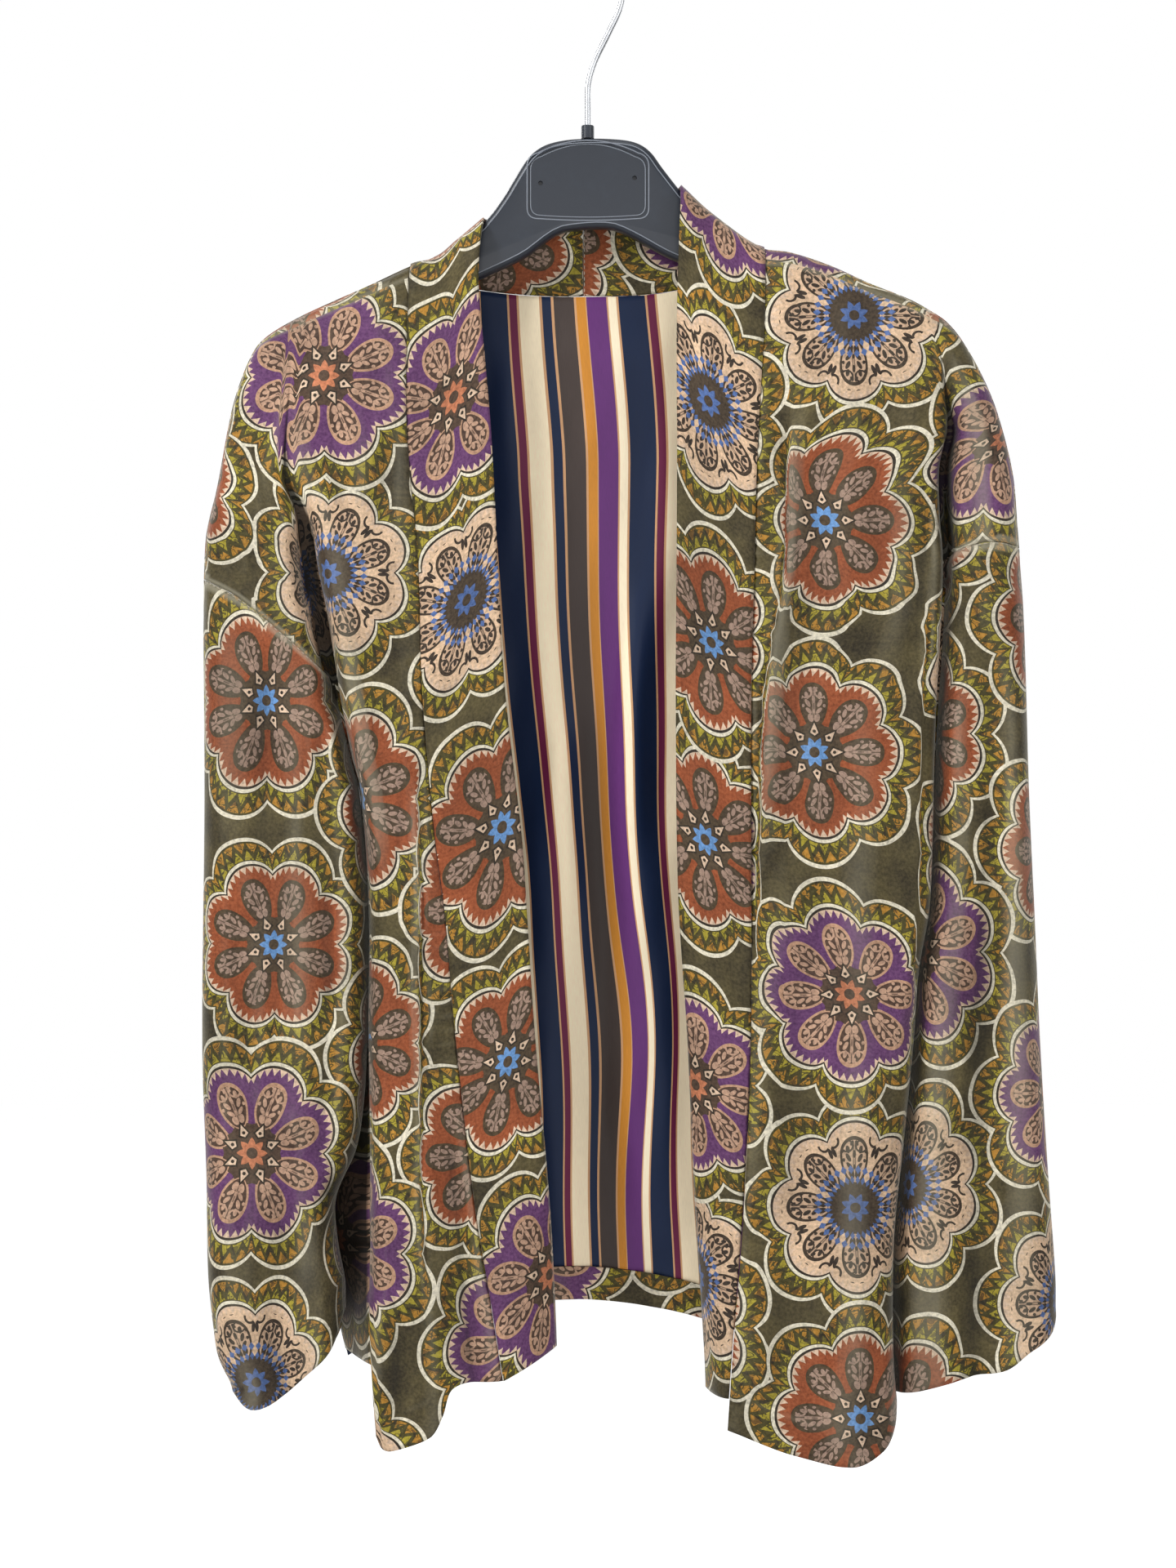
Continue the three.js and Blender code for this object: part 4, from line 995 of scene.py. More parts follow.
def satinMaterial():
    material, tree, shader = newMaterial("lining satin")
    place = node(tree, "ShaderNodeUVMap", uv_map="cloth").outputs[0]
    axes = node(tree, "ShaderNodeSeparateXYZ", {0: place})
    across = (Wire(tree, axes.outputs[0]) * (1000.0 / stripes["width"])).op("FRACT")
    ramp = node(tree, "ShaderNodeValToRGB", {0: across})
    ramp.color_ramp.interpolation = "CONSTANT"
    for i, (start, tint) in enumerate(stripes["bands"]):
        elements = ramp.color_ramp.elements
        stop = elements[i] if i < 1 else (elements[1] if i == 1 else elements.new(0.9999))
        stop.position = start / stripes["repeat"]
        stop.color = (*(tint or stripes["thread"]), 1)
    weave = node(tree, "ShaderNodeMapping", {"Vector": place, "Scale": (1.0, 0.08, 1.0)})
    threads = noiseIn(tree, weave.outputs[0], 2200.0, 1.0)
    soft = noiseIn(tree, place, 22.0, 2.0)
    tone = Wire(tree, threads.outputs["Fac"]).times(0.24, 0.86) + Wire(tree, soft.outputs["Fac"]) * 0.06
    # Painted shade in the lining's creases and painted highlight on its ridges, from the fold attribute.
    fold = Wire(tree, node(tree, "ShaderNodeAttribute", attribute_name="fold").outputs["Fac"])
    tone = tone * (fold * -0.45 + 1.0).op("MINIMUM", 1.15)
    shade = blendColours(tree, 1.0, ramp.outputs[0], combineTone(tree, tone), "MULTIPLY")
    tree.links.new(shade, shader.inputs["Base Color"])
    rough = Wire(tree, threads.outputs["Fac"]).times(0.18, 0.36)
    tree.links.new(rough.socket, shader.inputs["Roughness"])
    shader.inputs["Specular IOR Level"].default_value = 0.2
    addBump(tree, shader, threads.outputs["Fac"], 0.12, 0.0003)
    return material


def plasticMaterial(name, plain, scuffed):
    material, tree, shader = newMaterial(name)
    place = node(tree, "ShaderNodeTexCoord").outputs["Object"]
    grain = noiseIn(tree, place, 1900.0, 2.0)
    scuff = noiseIn(tree, place, 38.0, 5.0, 0.7)
    wearAndSeamHighlight = ((Wire(tree, scuff.outputs["Fac"]) - 0.52) * 3.0).op("MAXIMUM", 0.0).op("MINIMUM", 1.0)
    tint = blendColours(tree, wearAndSeamHighlight * 0.35, plain, scuffed)
    tree.links.new(tint, shader.inputs["Base Color"])
    rough = wearAndSeamHighlight.times(0.18, 0.34)
    tree.links.new(rough.socket, shader.inputs["Roughness"])
    addBump(tree, shader, grain.outputs["Fac"], 0.12, 0.0002)
    return material


def steelMaterial():
    material, tree, shader = newMaterial("hook steel")
    place = node(tree, "ShaderNodeTexCoord").outputs["Object"]
    drawn = node(tree, "ShaderNodeMapping", {"Vector": place, "Scale": (1.0, 1.0, 0.1)})
    streak = noiseIn(tree, drawn.outputs[0], 900.0, 3.0)
    tint = blendColours(tree, streak.outputs["Fac"], colour(176, 178, 182), colour(206, 208, 211))
    tree.links.new(tint, shader.inputs["Base Color"])
    rough = Wire(tree, streak.outputs["Fac"]).times(0.16, 0.2)
    tree.links.new(rough.socket, shader.inputs["Roughness"])
    shader.inputs["Metallic"].default_value = 1
    addBump(tree, shader, streak.outputs["Fac"], 0.08, 0.0002)
    return material


def threadMaterial():
    material, tree, shader = newMaterial("seam thread")
    place = node(tree, "ShaderNodeTexCoord").outputs["Object"]
    twist = noiseIn(tree, place, 2600.0, 1.0)
    tint = blendColours(tree, twist.outputs["Fac"], colour(150, 138, 118), colour(214, 204, 184))
    tree.links.new(tint, shader.inputs["Base Color"])
    rough = Wire(tree, twist.outputs["Fac"]).times(0.2, 0.5)
    tree.links.new(rough.socket, shader.inputs["Roughness"])
    return material


velvetOutside = velvetMaterial("printed velvet", 0.22)
liningSatin = satinMaterial()
slatePlastic = plasticMaterial("slate plastic", colour(33, 39, 49), colour(62, 69, 80))
# A paler copy of the slate plastic for the fine raised lines: painted highlight along the hanger's edges.
highlightSlate = plasticMaterial("pale slate edges", colour(128, 134, 144), colour(160, 165, 172))
hookSteel = steelMaterial()
seamThread = threadMaterial()
print("materials built")


def dress(obj, *materials):
    obj.data.materials.clear()
    for material in materials:
        obj.data.materials.append(material)


seamLook = {
    "wearAndSeamHighlight": 3.2,  # how far from a sleeve seam a pale painted highlight reaches, and how pale
    "seamHighlightTone": -1.6,
    "open": 3,  # no seam shows where front and back lie closer to the middle than this
    # the same painted highlight along the front's shoulder seam
    "shoulderHighlightReach": 2.0,
    "shoulderHighlightTone": -0.9,
    "shoulderTo": 300,  # the drop where the front's shoulder seam has ended
}
shoulderClose = {"over": 2.4, "below": 4}  # closes within "over" of the outline


def seamDitch(distance, depth, width):
    return -depth * np.exp(-(distance / width) ** 2)


# A pale painted highlight along the sleeve seams, where front and back stand apart.
def paintedSeamHighlight(tone, distance, depth):
    near = (distance < seamLook["wearAndSeamHighlight"]) & (depth > seamLook["open"])
    return np.where(near, seamLook["seamHighlightTone"], tone)


def puckers(run, distance, height=0.35, length=9.0, reach=9.0):
    beat = np.sin(2 * math.pi * run / length + 1.3 * np.sin(run / 23))
    return height * beat * np.exp(-distance / reach)


# Front panels.

frontRight = {
    "flat": (0.205, 0.67),
    "area": 0.0645,
    "printAt": (34.0, 62.0),
    "seamRow": 2,
    "folds": [
        dict(line=[(300, -163), (350, -152), (430, -138), (520, -126), (640, -124)], trough=3.5, ridge=3.0,
             width=6, lean=1, fadeIn=0.3, fadeOut=0.4),
        dict(line=[(240, -150), (300, -143), (380, -128), (470, -112)],
             trough=1.6, ridge=1.4, width=9, lean=-1),
        dict(line=[(230, -110), (330, -112), (450, -104), (600, -98)],
             ridge=1.6, trough=1.2, width=10, lean=-1),
        dict(line=[(520, -112), (650, -110), (835, -106)],
             ridge=3.2, trough=2.4, width=9, lean=-1, fadeOut=0.05),
        dict(line=[(450, -94), (560, -92), (700, -91), (780, -88)],
             tuck=True, ridge=1.4, trough=2.6, width=4.5,
             lean=-1, hidden=9, fadeIn=0.2, fadeOut=0.3),
    ],
}
frontLeft = {
    "flat": (0.2, 0.7),
    "area": 0.087,
    "printAt": (64.0, 96.0),
    "seamRow": 2,
    "folds": [
        dict(line=[(262, 112), (322, 110), (370, 107), (434, 97), (520, 94), (600, 92)], tuck=True, ridge=3.0,
             trough=5.0, width=4.0, hidden=18, fadeIn=0.12, fadeOut=0.4),
        dict(line=[(370, 186), (440, 184), (520, 182), (640, 176)], tuck=True, ridge=1.6, trough=2.6, width=6,
             lean=-1, fadeIn=0.2, fadeOut=0.4),
        dict(line=[(270, 192), (340, 186), (420, 176), (520, 168), (640, 160)],
             trough=2.6, ridge=2.4, width=8, lean=-1),
        dict(line=[(215, 150), (300, 156), (400, 150), (520, 138)], ridge=1.8, trough=1.0, width=12, lean=1),
        dict(line=[(560, 112), (700, 108), (845, 104)],
             ridge=2.6, trough=2.0, width=11, lean=1, fadeOut=0.05),
        dict(line=[(600, 172), (720, 164), (845, 158)],
             ridge=2.2, trough=2.2, width=8, lean=-1, fadeOut=0.05),
    ],
}


def bandSeamEdge(side, low, high):
    def edge(t):
        drop = mix(low, high, np.asarray(t, float))
        x = bandEdges[side].at("drop", drop, "seam") + sign[side] * seamGap / 2
        return np.stack([x, drop], -1)
    return edge


def shoulderEdges(side):
    seam = sleeveSeam[side]
    lift = seamGap / 2
    corner, tip = markPoint(side, "sleeveSeam"), markPoint(side, "tip")

    def bottom(t):
        points = seam.at(seam.length * np.asarray(t, float))
        points[:, 1] -= lift
        return points

    def end(t):
        t = np.asarray(t, float)
        points = outline[side].at(mix(runOf(side, "tip"), runOf(side, "sleeveSeam"), t))
        points[:, 1] -= lift * t * (corner[1] > tip[1])
        return points

    return dict(
        top=alongPath(outline[side], runOf(side, "creaseTop"), runOf(side, "tip")),
        bottom=bottom,
        start=creaseEdge(side, crease[side].columns["drop"][0], underarm[side] - lift),
        end=end,
    )


def armFractions(side):
    steps = meshSteps["armRight" if side == "right" else "armLeft"]
    return fractions(acrossArm[side], *steps, softEnd=True)


def upperRows(side):
    return fractions(downUpper[side], *meshSteps["upper"], softStart=True)


def lowerRows():
    return fractions(downLower, *meshSteps["lower"])[1:]


def creaseShare(side, drop):
    # How far the print starts afresh beyond the crease: not at its top, and fully in the channel.
    channel = armhole["channel"][side].columns["drop"]
    return ease(crease[side].columns["drop"][0] + 10, channel[2], drop)


def hiddenCloth(folds, x, drop):
    # A tuck takes some cloth out of sight, so the print jumps at its edge.
    total = np.zeros(x.shape)
    for fold in folds:
        if fold.get("tuck"):
            drops, xs = np.array(fold["line"], float).T
            line = smoothAt(drops, xs, np.nan_to_num(drop))
            fade = ease(drops[0] - 5, drops[0] + 60, drop) * (1 - ease(drops[-1] - 90, drops[-1] + 10, drop))
            total += fold.get("hidden", 9.0) * np.nan_to_num(fade) * ease(-1.4, 1.4, x - line)
    return total


seamDepths = {}  # depth of the shoulder's cloth along each sleeve seam, which the sleeve starts from
overShoulder = (31.0, 57.0)  # the print's jump where the back's cloth comes over to the front's seam


def bodySurface(piece, sheet, grid, below, seed):
    x, drop = grid[..., 0], grid[..., 1]
    here = ~np.isnan(x)
    depth = np.full(x.shape, np.nan)
    xs, drops = x[here], drop[here]
    extra = foldRelief(piece["folds"], xs, drops) + softRelief("body", xs, drops, seed)
    depth[here] = bodyDepth(sheet, xs, drops, below[here], extra)
    return depth


def closeShoulder(depth, x, drop):
    # Front and back come together along the shoulder and the top of the sleeve.
    for side in sign:
        distance, _, _ = pathDistance(outlineDots[side], x, drop)
        here = (x < centreBack) == (side == "right")
        here &= drop < sleeveSeam[side].points[-1][1] + shoulderClose["below"]
        depth = np.where(here, depth * ease(0, shoulderClose["over"], distance), depth)
    return depth


def frontSideEdge(side, low, high):
    def edge(t):
        points = creaseEdge(side, low, high)(t)
        if side == "right":
            parted = points[:, 1] > lowReturn["top"]
            points[:, 0] = np.where(parted, lowFrontEdge.at("drop", points[:, 1], "x"), points[:, 0])
        return points
    return edge


def addReturn(points, edgeColumn):
    # Fills the columns beyond the side edge with the cloth that turns back to the side seam.
    edge = points[:, edgeColumn]
    drop = -edge[:, 2]
    rows = (drop > lowReturn["from"]) & (drop < lowReturn["to"])
    x = lowBackEdge.at("drop", drop, "x")
    depth = lowReturn["depth"] * ease(lowReturn["top"], lowReturn["full"], drop)
    for k in range(1, lowReturn["columns"] + 1):
        t = k / lowReturn["columns"]
        ripple = lowReturn["ripple"] * np.sin(drop / lowReturn["wave"] + 1.2 * t) * t * (1 - t) * 4
        aside, inwards = mix(edge[:, 0], x, t) + ripple * 0.4, mix(edge[:, 1], depth, t) + ripple
        points[rows, edgeColumn + k] = np.stack([aside, inwards, edge[:, 2]], -1)[rows]
    return rows


def makeFront(side, piece, name, seed):
    chest = underarm[side] - levelBreak
    neck, hem = markPoint(side, "neck"), frontHem[side]
    bandPoint = bandSeamEdge(side, chest, chest)(np.array([0.0]))[0]
    chestLine = straight(bandPoint, creasePoint(side, underarm[side]))
    body = fractions(acrossBody[side], *meshSteps["front"])
    arm, upper, lower = armFractions(side), upperRows(side), lowerRows()
    top = coons(
        alongPath(outline[side], runOf(side, "neck"), runOf(side, "creaseTop")), chestLine,
        bandSeamEdge(side, neck[1], chest),
        creaseEdge(side, crease[side].columns["drop"][0], underarm[side]), body, upper,
    )
    shoulder = coons(**shoulderEdges(side), across=arm, down=upper)
    skirt = coons(
        chestLine, alongPath(hem), bandSeamEdge(side, chest, hem.points[0][1]),
        frontSideEdge(side, underarm[side], hem.points[-1][1]), body, lower,
    )
    nowhere = np.full((len(lower), len(arm) - 1, 2), np.nan)
    grid = np.concatenate([
        np.concatenate([top, shoulder[:, 1:]], 1), np.concatenate([skirt, nowhere], 1),
    ])
    below = np.zeros(grid.shape[:2], bool)
    below[len(upper):] = True
    depth = bodySurface(piece, "front", grid, below, seed)
    run = np.arange(grid.shape[0]) * rowStep
    fromBand = np.abs(grid[..., 0] - grid[:, :1, 0])
    toHem = np.abs(grid[-1:, :, 1] - grid[..., 1])
    toHem[np.isnan(toHem)] = farAway
    depth += hemRelief(toHem, hemLook["turn"])
    depth += seamDitch(fromBand, 1.0, 1.5) + puckers(run[:, None], fromBand, 0.3)
    lastRow = len(upper) - 1
    toSleeve = np.full(grid.shape[:2], farAway)
    shoulderDrops = grid[:lastRow + 1, len(body):, 1]
    toSleeve[:lastRow + 1, len(body):] = np.abs(shoulderDrops - shoulderDrops[-1])
    edgeColumn = len(body) - 1
    seamDepths[side, "front"] = grid[lastRow, edgeColumn:, 0], depth[lastRow, edgeColumn:].copy()
    depth += seamDitch(toSleeve, 0.9, 1.5) * (depth > seamLook["open"])
    seamRow = int(np.searchsorted(upper, downUpper[side][piece["seamRow"]] - 1e-9))
    fromSeam = np.abs(grid[..., 1] - grid[seamRow:seamRow + 1, :, 1])
    onShoulder = grid[..., 1] < seamLook["shoulderTo"]
    depth += seamDitch(fromSeam, 0.8, 1.2) * onShoulder
    depth = closeShoulder(np.maximum(depth, 0.2), grid[..., 0], grid[..., 1])
    points = np.stack([grid[..., 0], -depth, -grid[..., 1]], -1)
    returned = addReturn(points, edgeColumn) if side == "right" else None
    share = creaseShare(side, grid[:, edgeColumn, 1])
    uv = clothPlaces(points, 0, lastRow, [(edgeColumn, share)])
    uv[..., 0] += hiddenCloth(piece["folds"], points[..., 0], -points[..., 2])
    uv += np.array(piece["printAt"])
    shift = np.zeros((grid.shape[0] - 1, grid.shape[1] - 1, 2))
    shift[:seamRow] = overShoulder
    hemWeight = np.exp(-(toHem / hemLook["roll"]) ** 2)
    # Painted shade and highlight from the folds, with a pale painted highlight along the sleeve and shoulder
    # seams.
    tone = paintedSeamHighlight(foldShadeAndHighlight(points, -1), toSleeve, depth)
    tone = np.where((fromSeam < seamLook["shoulderHighlightReach"]) & onShoulder, seamLook["shoulderHighlightTone"], tone)
    # The returned strip behind the sleeve gets painted shade, lighter near its hem.
    if side == "right":
        beyond = slice(edgeColumn + 1, edgeColumn + 1 + lowReturn["columns"])
        toEdge = ease(lowReturn["hemFrom"], lowReturn["hemTo"], -points[:, beyond, 2])
        shade = mix(lowReturn["dark"], lowReturn["hemDark"], toEdge)
        tone[:, beyond] = np.where(returned[:, None], shade, tone[:, beyond])
        hemWeight[:, beyond] = 0
    obj = meshFromGrid(name, points, uv, flip=side == "left", skip=shift, hem=hemWeight, tone=tone)
    dress(obj, velvetOutside, liningSatin)
    thicken(obj, clothThickness["panel"])
    return obj


rightFront = makeFront("right", frontRight, "right_front_velvet", 11)
settle(rightFront, "front_right", frontRight, ["hanger_body"])
leftFront = makeFront("left", frontLeft, "left_front_velvet", 23)
settle(leftFront, "front_left", frontLeft, ["hanger_body"])
print("fronts made")


# Back panel.

back = {
    "flat": (0.52, 0.66),
    "area": 0.232,
    "printAt": (12.0, 30.0),
    "folds": [
        dict(line=[(250, -150), (340, -132), (450, -118), (600, -108)],
             trough=2.2, ridge=2.4, width=11, lean=1),
        dict(line=[(240, 178), (330, 160), (440, 146), (600, 134)], trough=2.2, ridge=2.4, width=11, lean=-1),
        dict(line=[(260, -60), (420, -48), (600, -52), (768, -50)],
             ridge=2.4, trough=1.2, width=15, lean=1, fadeOut=0.05),
        dict(line=[(280, 30), (460, 26), (640, 34), (778, 30)],
             ridge=2.6, trough=1.6, width=14, lean=-1, fadeOut=0.05),
        dict(line=[(430, 118), (600, 112), (800, 118)],
             ridge=3.0, trough=2.2, width=11, lean=1, fadeOut=0.05),
        dict(line=[(470, -112), (620, -104), (785, -98)],
             ridge=3.0, trough=2.2, width=10, lean=-1, fadeOut=0.05),
        dict(line=[(222, -80), (236, 0), (226, 84)], trough=0.9, ridge=0.6, width=7, lean=1),
    ],
}
alongNeck = [0.025, 0.09, 0.18, 0.3, 0.45, 0.62, 0.8, 1]
backColumns = {  # places across the back, from the side seam to the neck and from the neck on
    "right": [0, 0.006, 0.024, 0.045, 0.085, 0.13],
    "left": [0.78, 0.85, 0.91, 0.955, 0.976, 0.994, 1],
}


def makeBack():
    tops = {side: crease[side].at("drop", crease[side].columns["drop"][0], "x") for side in sign}
    spread = tops["left"] - tops["right"]
    neckX = {side: markPoint(side, "neck")[0] for side in sign}

    def fraction(x):
        return (x - tops["right"]) / spread

    def neckColumns(side):
        return [fraction(mix(neckX[side], centreBack, t)) for t in alongNeck]

    stops = [
        *backColumns["right"], fraction(neckX["right"]), *neckColumns("right"),
        *neckColumns("left")[:-1][::-1], fraction(neckX["left"]), *backColumns["left"],
    ]

    def shoulderLine(t):
        x = tops["right"] + spread * np.asarray(t, float)
        reverse = outline["right"].points[::-1]
        drop = np.where(x < 0, smoothAt(reverse[:, 0], reverse[:, 1], x),
                        smoothAt(outline["left"].points[:, 0], outline["left"].points[:, 1], x))
        neck = (x > neckX["right"] - 0.01) & (x < neckX["left"] + 0.01)
        return np.stack([x, np.where(neck, backNeck.at("x", x, "seam") + seamGap / 2, drop)], -1)

    chestLine = straight(*(creasePoint(side, underarm[side]) for side in ("right", "left")))
    across, rows, lower = fractions(stops, spread, backStep), upperRows("right"), lowerRows()
    top = coons(
        shoulderLine, chestLine,
        creaseEdge("right", crease["right"].columns["drop"][0], underarm["right"]),
        creaseEdge("left", crease["left"].columns["drop"][0], underarm["left"]), across, rows,
    )
    skirt = coons(
        chestLine, alongPath(backHem), creaseEdge("right", underarm["right"], backHem.points[0][1]),
        creaseEdge("left", underarm["left"], backHem.points[-1][1]), across, lower,
    )
    arms = {side: coons(**shoulderEdges(side), across=armFractions(side), down=rows) for side in sign}
    rightArm, leftArm = arms["right"][:, 1:][:, ::-1], arms["left"][:, 1:]
    voids = [np.full((len(lower), part.shape[1], 2), np.nan) for part in (rightArm, leftArm)]
    grid = np.concatenate([
        np.concatenate([rightArm, top, leftArm], 1), np.concatenate([voids[0], skirt, voids[1]], 1),
    ])
    below = np.zeros(grid.shape[:2], bool)
    below[len(rows):] = True
    depth = bodySurface(back, "back", grid, below, 37)
    first = rightArm.shape[1]
    last = len(rows) - 1
    neckSide = (grid[0, :, 0] > neckX["right"]) & (grid[0, :, 0] < neckX["left"])
    fromNeck = np.where(neckSide[None], np.abs(grid[..., 1] - grid[:1, :, 1]), farAway)
    depth += seamDitch(fromNeck, 0.9, 1.5) + puckers(np.nan_to_num(grid[..., 0]), fromNeck, 0.3)
    toSleeve = np.full(grid.shape[:2], farAway)
    for side, part in (("right", slice(0, first)), ("left", slice(grid.shape[1] - leftArm.shape[1], None))):
        seamDepths[side, "back"] = grid[last, part, 0], depth[last, part].copy()
        toSleeve[:last + 1, part] = np.abs(grid[:last + 1, part, 1] - grid[last, part, 1])
    depth += seamDitch(toSleeve, 0.9, 1.5) * (depth > seamLook["open"])
    toHem = np.abs(grid[-1:, :, 1] - grid[..., 1])
    toHem[np.isnan(toHem)] = farAway
    depth = np.maximum(depth + hemRelief(toHem, hemLook["turn"]), 0.2)
    depth = closeShoulder(depth, grid[..., 0], grid[..., 1])
    low = np.nan_to_num(grid[..., 1])
    seamX = crease["right"].at("drop", low, "x")
    nearEdge = ease(0, lowReturn["pull"], seamX + lowReturn["pull"] - grid[..., 0]) * below
    pull = lowBackEdge.at("drop", low, "x") - seamX
    grid[..., 0] += np.where(low > lowReturn["top"], pull * nearEdge, 0)
    share = ease(lowReturn["top"], lowReturn["full"], low) * np.nan_to_num(nearEdge)
    depth = mix(depth, lowReturn["depth"], share)
    points = np.stack([grid[..., 0], depth, -grid[..., 1]], -1)
    beyond = grid.shape[1] - leftArm.shape[1]
    resets = [(first, creaseShare("right", grid[:, first, 1])),
              (beyond - 1, creaseShare("left", grid[:, beyond - 1, 1]))]
    uv = clothPlaces(points, first + len(across) // 2, last, resets)
    uv[..., 0] *= -1
    uv += np.array(back["printAt"])
    tone = paintedSeamHighlight(foldShadeAndHighlight(points, 1), toSleeve, depth)
    obj = meshFromGrid("back_velvet", points, uv, hem=np.exp(-(toHem / hemLook["roll"]) ** 2), tone=tone)
    dress(obj, velvetOutside, liningSatin)
    thicken(obj, clothThickness["panel"])
    return obj


backPiece = makeBack()
settle(backPiece, "back_panel", back, ["hanger_body"])
print("back made")


# Sleeves.

sleeveRight = {
    "flat": (0.215, 0.45),
    "printAt": (52.0, 8.0),
    "trough": dict(at=(-178, -172), width=12, depth=5),
    "folds": [
        dict(line=[(400, -160), (480, -150), (600, -146), (720, -152)],
             trough=2.6, ridge=2.2, width=7, lean=-1),
        dict(line=[(450, -196), (580, -192), (720, -190), (810, -186)],
             ridge=2.2, trough=1.6, width=9, lean=1,
             fadeOut=0.1),
        dict(line=[(640, -205), (668, -180), (684, -150)], trough=1.5, ridge=1.0, width=7, lean=1),
        dict(line=[(700, -150), (730, -168), (770, -176)], trough=1.8, ridge=1.4, width=8, lean=1),
    ],
}
sleeveLeft = {
    "flat": (0.205, 0.45),
    "printAt": (-38.0, 150.0),
    "trough": dict(at=(221, 214), width=11, depth=6),
    "folds": [
        dict(line=[(390, 232), (480, 226), (600, 222), (690, 224)], trough=2.4, ridge=2.2, width=7, lean=1),
        dict(line=[(560, 206), (680, 202), (806, 204)], ridge=2.6, trough=1.8, width=9, lean=-1, fadeOut=0.1),
        dict(line=[(650, 250), (690, 236), (720, 214)], trough=1.4, ridge=1.0, width=8, lean=1),
        dict(line=[(360, 206), (430, 212), (520, 206)], trough=1.6, ridge=1.4, width=7, lean=1),
    ],
}
underarmNotch = 0.6
underarmEase = 0.3


sleeveLook = {
    "innerReach": 13.0,  # the round beside the body, below the armhole
    "slim": 0.75,  # share of the body's depth left at the cuff
    "backFolds": 0.7,
    "frontShade": 0.8,  # painted shade beside the body, on the front and the back of the sleeve
    "backShade": 0.3,
    "tuckIn": 3.3,  # how far the sleeve's edge lies in under the armhole
}


def makeSleeve(side, piece, name, seed):
    inner, outer, seam, edge = sleeveInner[side], sleeveOuter[side], sleeveSeam[side], cuff[side]

    def top(t):
        t = np.asarray(t, float)
        points = seam.at(mix(underarmNotch, seam.length, t))
        points[:, 1] += seamGap / 2 + underarmEase * (1 - ease(0, 0.45, t))
        return points

    startX, startDrop = top(np.array([0.0]))[0]

    def start(t):
        t = np.asarray(t, float)
        drop = mix(startDrop, edge.points[0][1], t)
        return np.stack([mix(startX, inner.at("drop", drop, "x"), ease(0, 0.05, t)), drop], -1)

    def end(t):
        drop = mix(outer.columns["drop"][0] + seamGap / 2, outer.columns["drop"][-1], np.asarray(t, float))
        return np.stack([outer.at("drop", drop, "x"), drop], -1)

    across = fractions(acrossArm[side], *meshSteps["sleeveAcross"], softStart=True, softEnd=True)
    down = fractions(downSleeve, *meshSteps["sleeveDown"])
    grid = coons(top, alongPath(edge), start, end, across, down)
    x, drop = grid[..., 0], grid[..., 1]
    toOuter = np.abs(outer.at("drop", drop, "x") - x)
    toInner = np.abs(x - inner.at("drop", drop, "x"))
    innerReach = mix(armhole["reach"], sleeveLook["innerReach"], ease(0, 200, drop - underarm[side]))
    rounded = roll(toOuter / edgeRound) * roll(toInner / innerReach)
    slim = mix(1, sleeveLook["slim"], ease(350, 820, drop))
    trough = piece["trough"]
    middle = mix(*trough["at"], np.clip((drop - 360) / 400, 0, 1))
    dip = trough["depth"] * ease(350, 450, drop) * np.exp(-((x - middle) / trough["width"]) ** 2)
    toSeam = np.abs(drop - drop[:1])
    toHem = np.abs(drop[-1:] - drop)
    sheets = []
    for sheet, facing in (("front", -1), ("back", 1)):
        share = 1 if sheet == "front" else sleeveLook["backFolds"]
        seedHere = seed + (0 if sheet == "front" else 5)
        extra = foldRelief(piece["folds"], x, drop) * share
        extra += softRelief("sleeve", x, drop, seedHere) + hemRelief(toHem, hemLook["cuffTurn"])
        depth = hangDepth.at("drop", drop, sheet) * slim - dip * share + extra
        atSeam, seamDepth = seamDepths[side, sheet]
        order = np.argsort(atSeam)
        above = np.interp(x, atSeam[order], seamDepth[order])
        above = above * ease(0, 3, toOuter) * ease(0, 3, toInner)
        depth = mix(above, depth * rounded, ease(0, 34, toSeam))
        depth += (seamDitch(toSeam, 0.9, 1.5) + puckers(x, toSeam, 0.3)) * (above > seamLook["open"])
        underBody = sleeveLook["tuckIn"] * (1 - ease(0, 30, toInner)) * ease(-4, 6, toSeam)
        towardsBody = x - sign[side] * underBody
        sheets.append(np.stack([towardsBody, facing * np.maximum(depth, 0.0), -drop], -1))
    points = np.concatenate([sheets[0], sheets[1][:, ::-1][:, 1:]], 1)
    outerColumn = len(across) - 1
    uv = stripPlaces(points, outerColumn)
    uv[..., 0] = sign[side] * (uv[..., 0] - uv[:, [outerColumn], 0]) + points[:, [outerColumn], 0]
    uv[..., 1] = points[..., 2]
    uv += np.array(piece["printAt"])
    cuffWeight = np.exp(-(toHem / hemLook["roll"]) ** 2)
    cuffWeight = np.concatenate([cuffWeight, cuffWeight[:, ::-1][:, 1:]], 1)
    tones = []
    for sheet, facing in zip(sheets, (-1, 1)):
        shade = foldShadeAndHighlight(sheet, facing)
        # Painted shade beside the body, deepest at the sleeve's inner edge.
        darker = sleeveLook["frontShade" if facing < 0 else "backShade"]
        shade = np.clip(shade + darker * np.exp(-(toInner / 5) ** 2), -1, 1)
        tones.append(paintedSeamHighlight(shade, toSeam, np.abs(sheet[..., 1])))
    tone = np.concatenate([tones[0], tones[1][:, ::-1][:, 1:]], 1)
    obj = meshFromGrid(name, points, uv, wrap=True, flip=side == "left", hem=cuffWeight, tone=tone)
    dress(obj, velvetOutside, liningSatin)
    thicken(obj, clothThickness["panel"])
    return obj, points


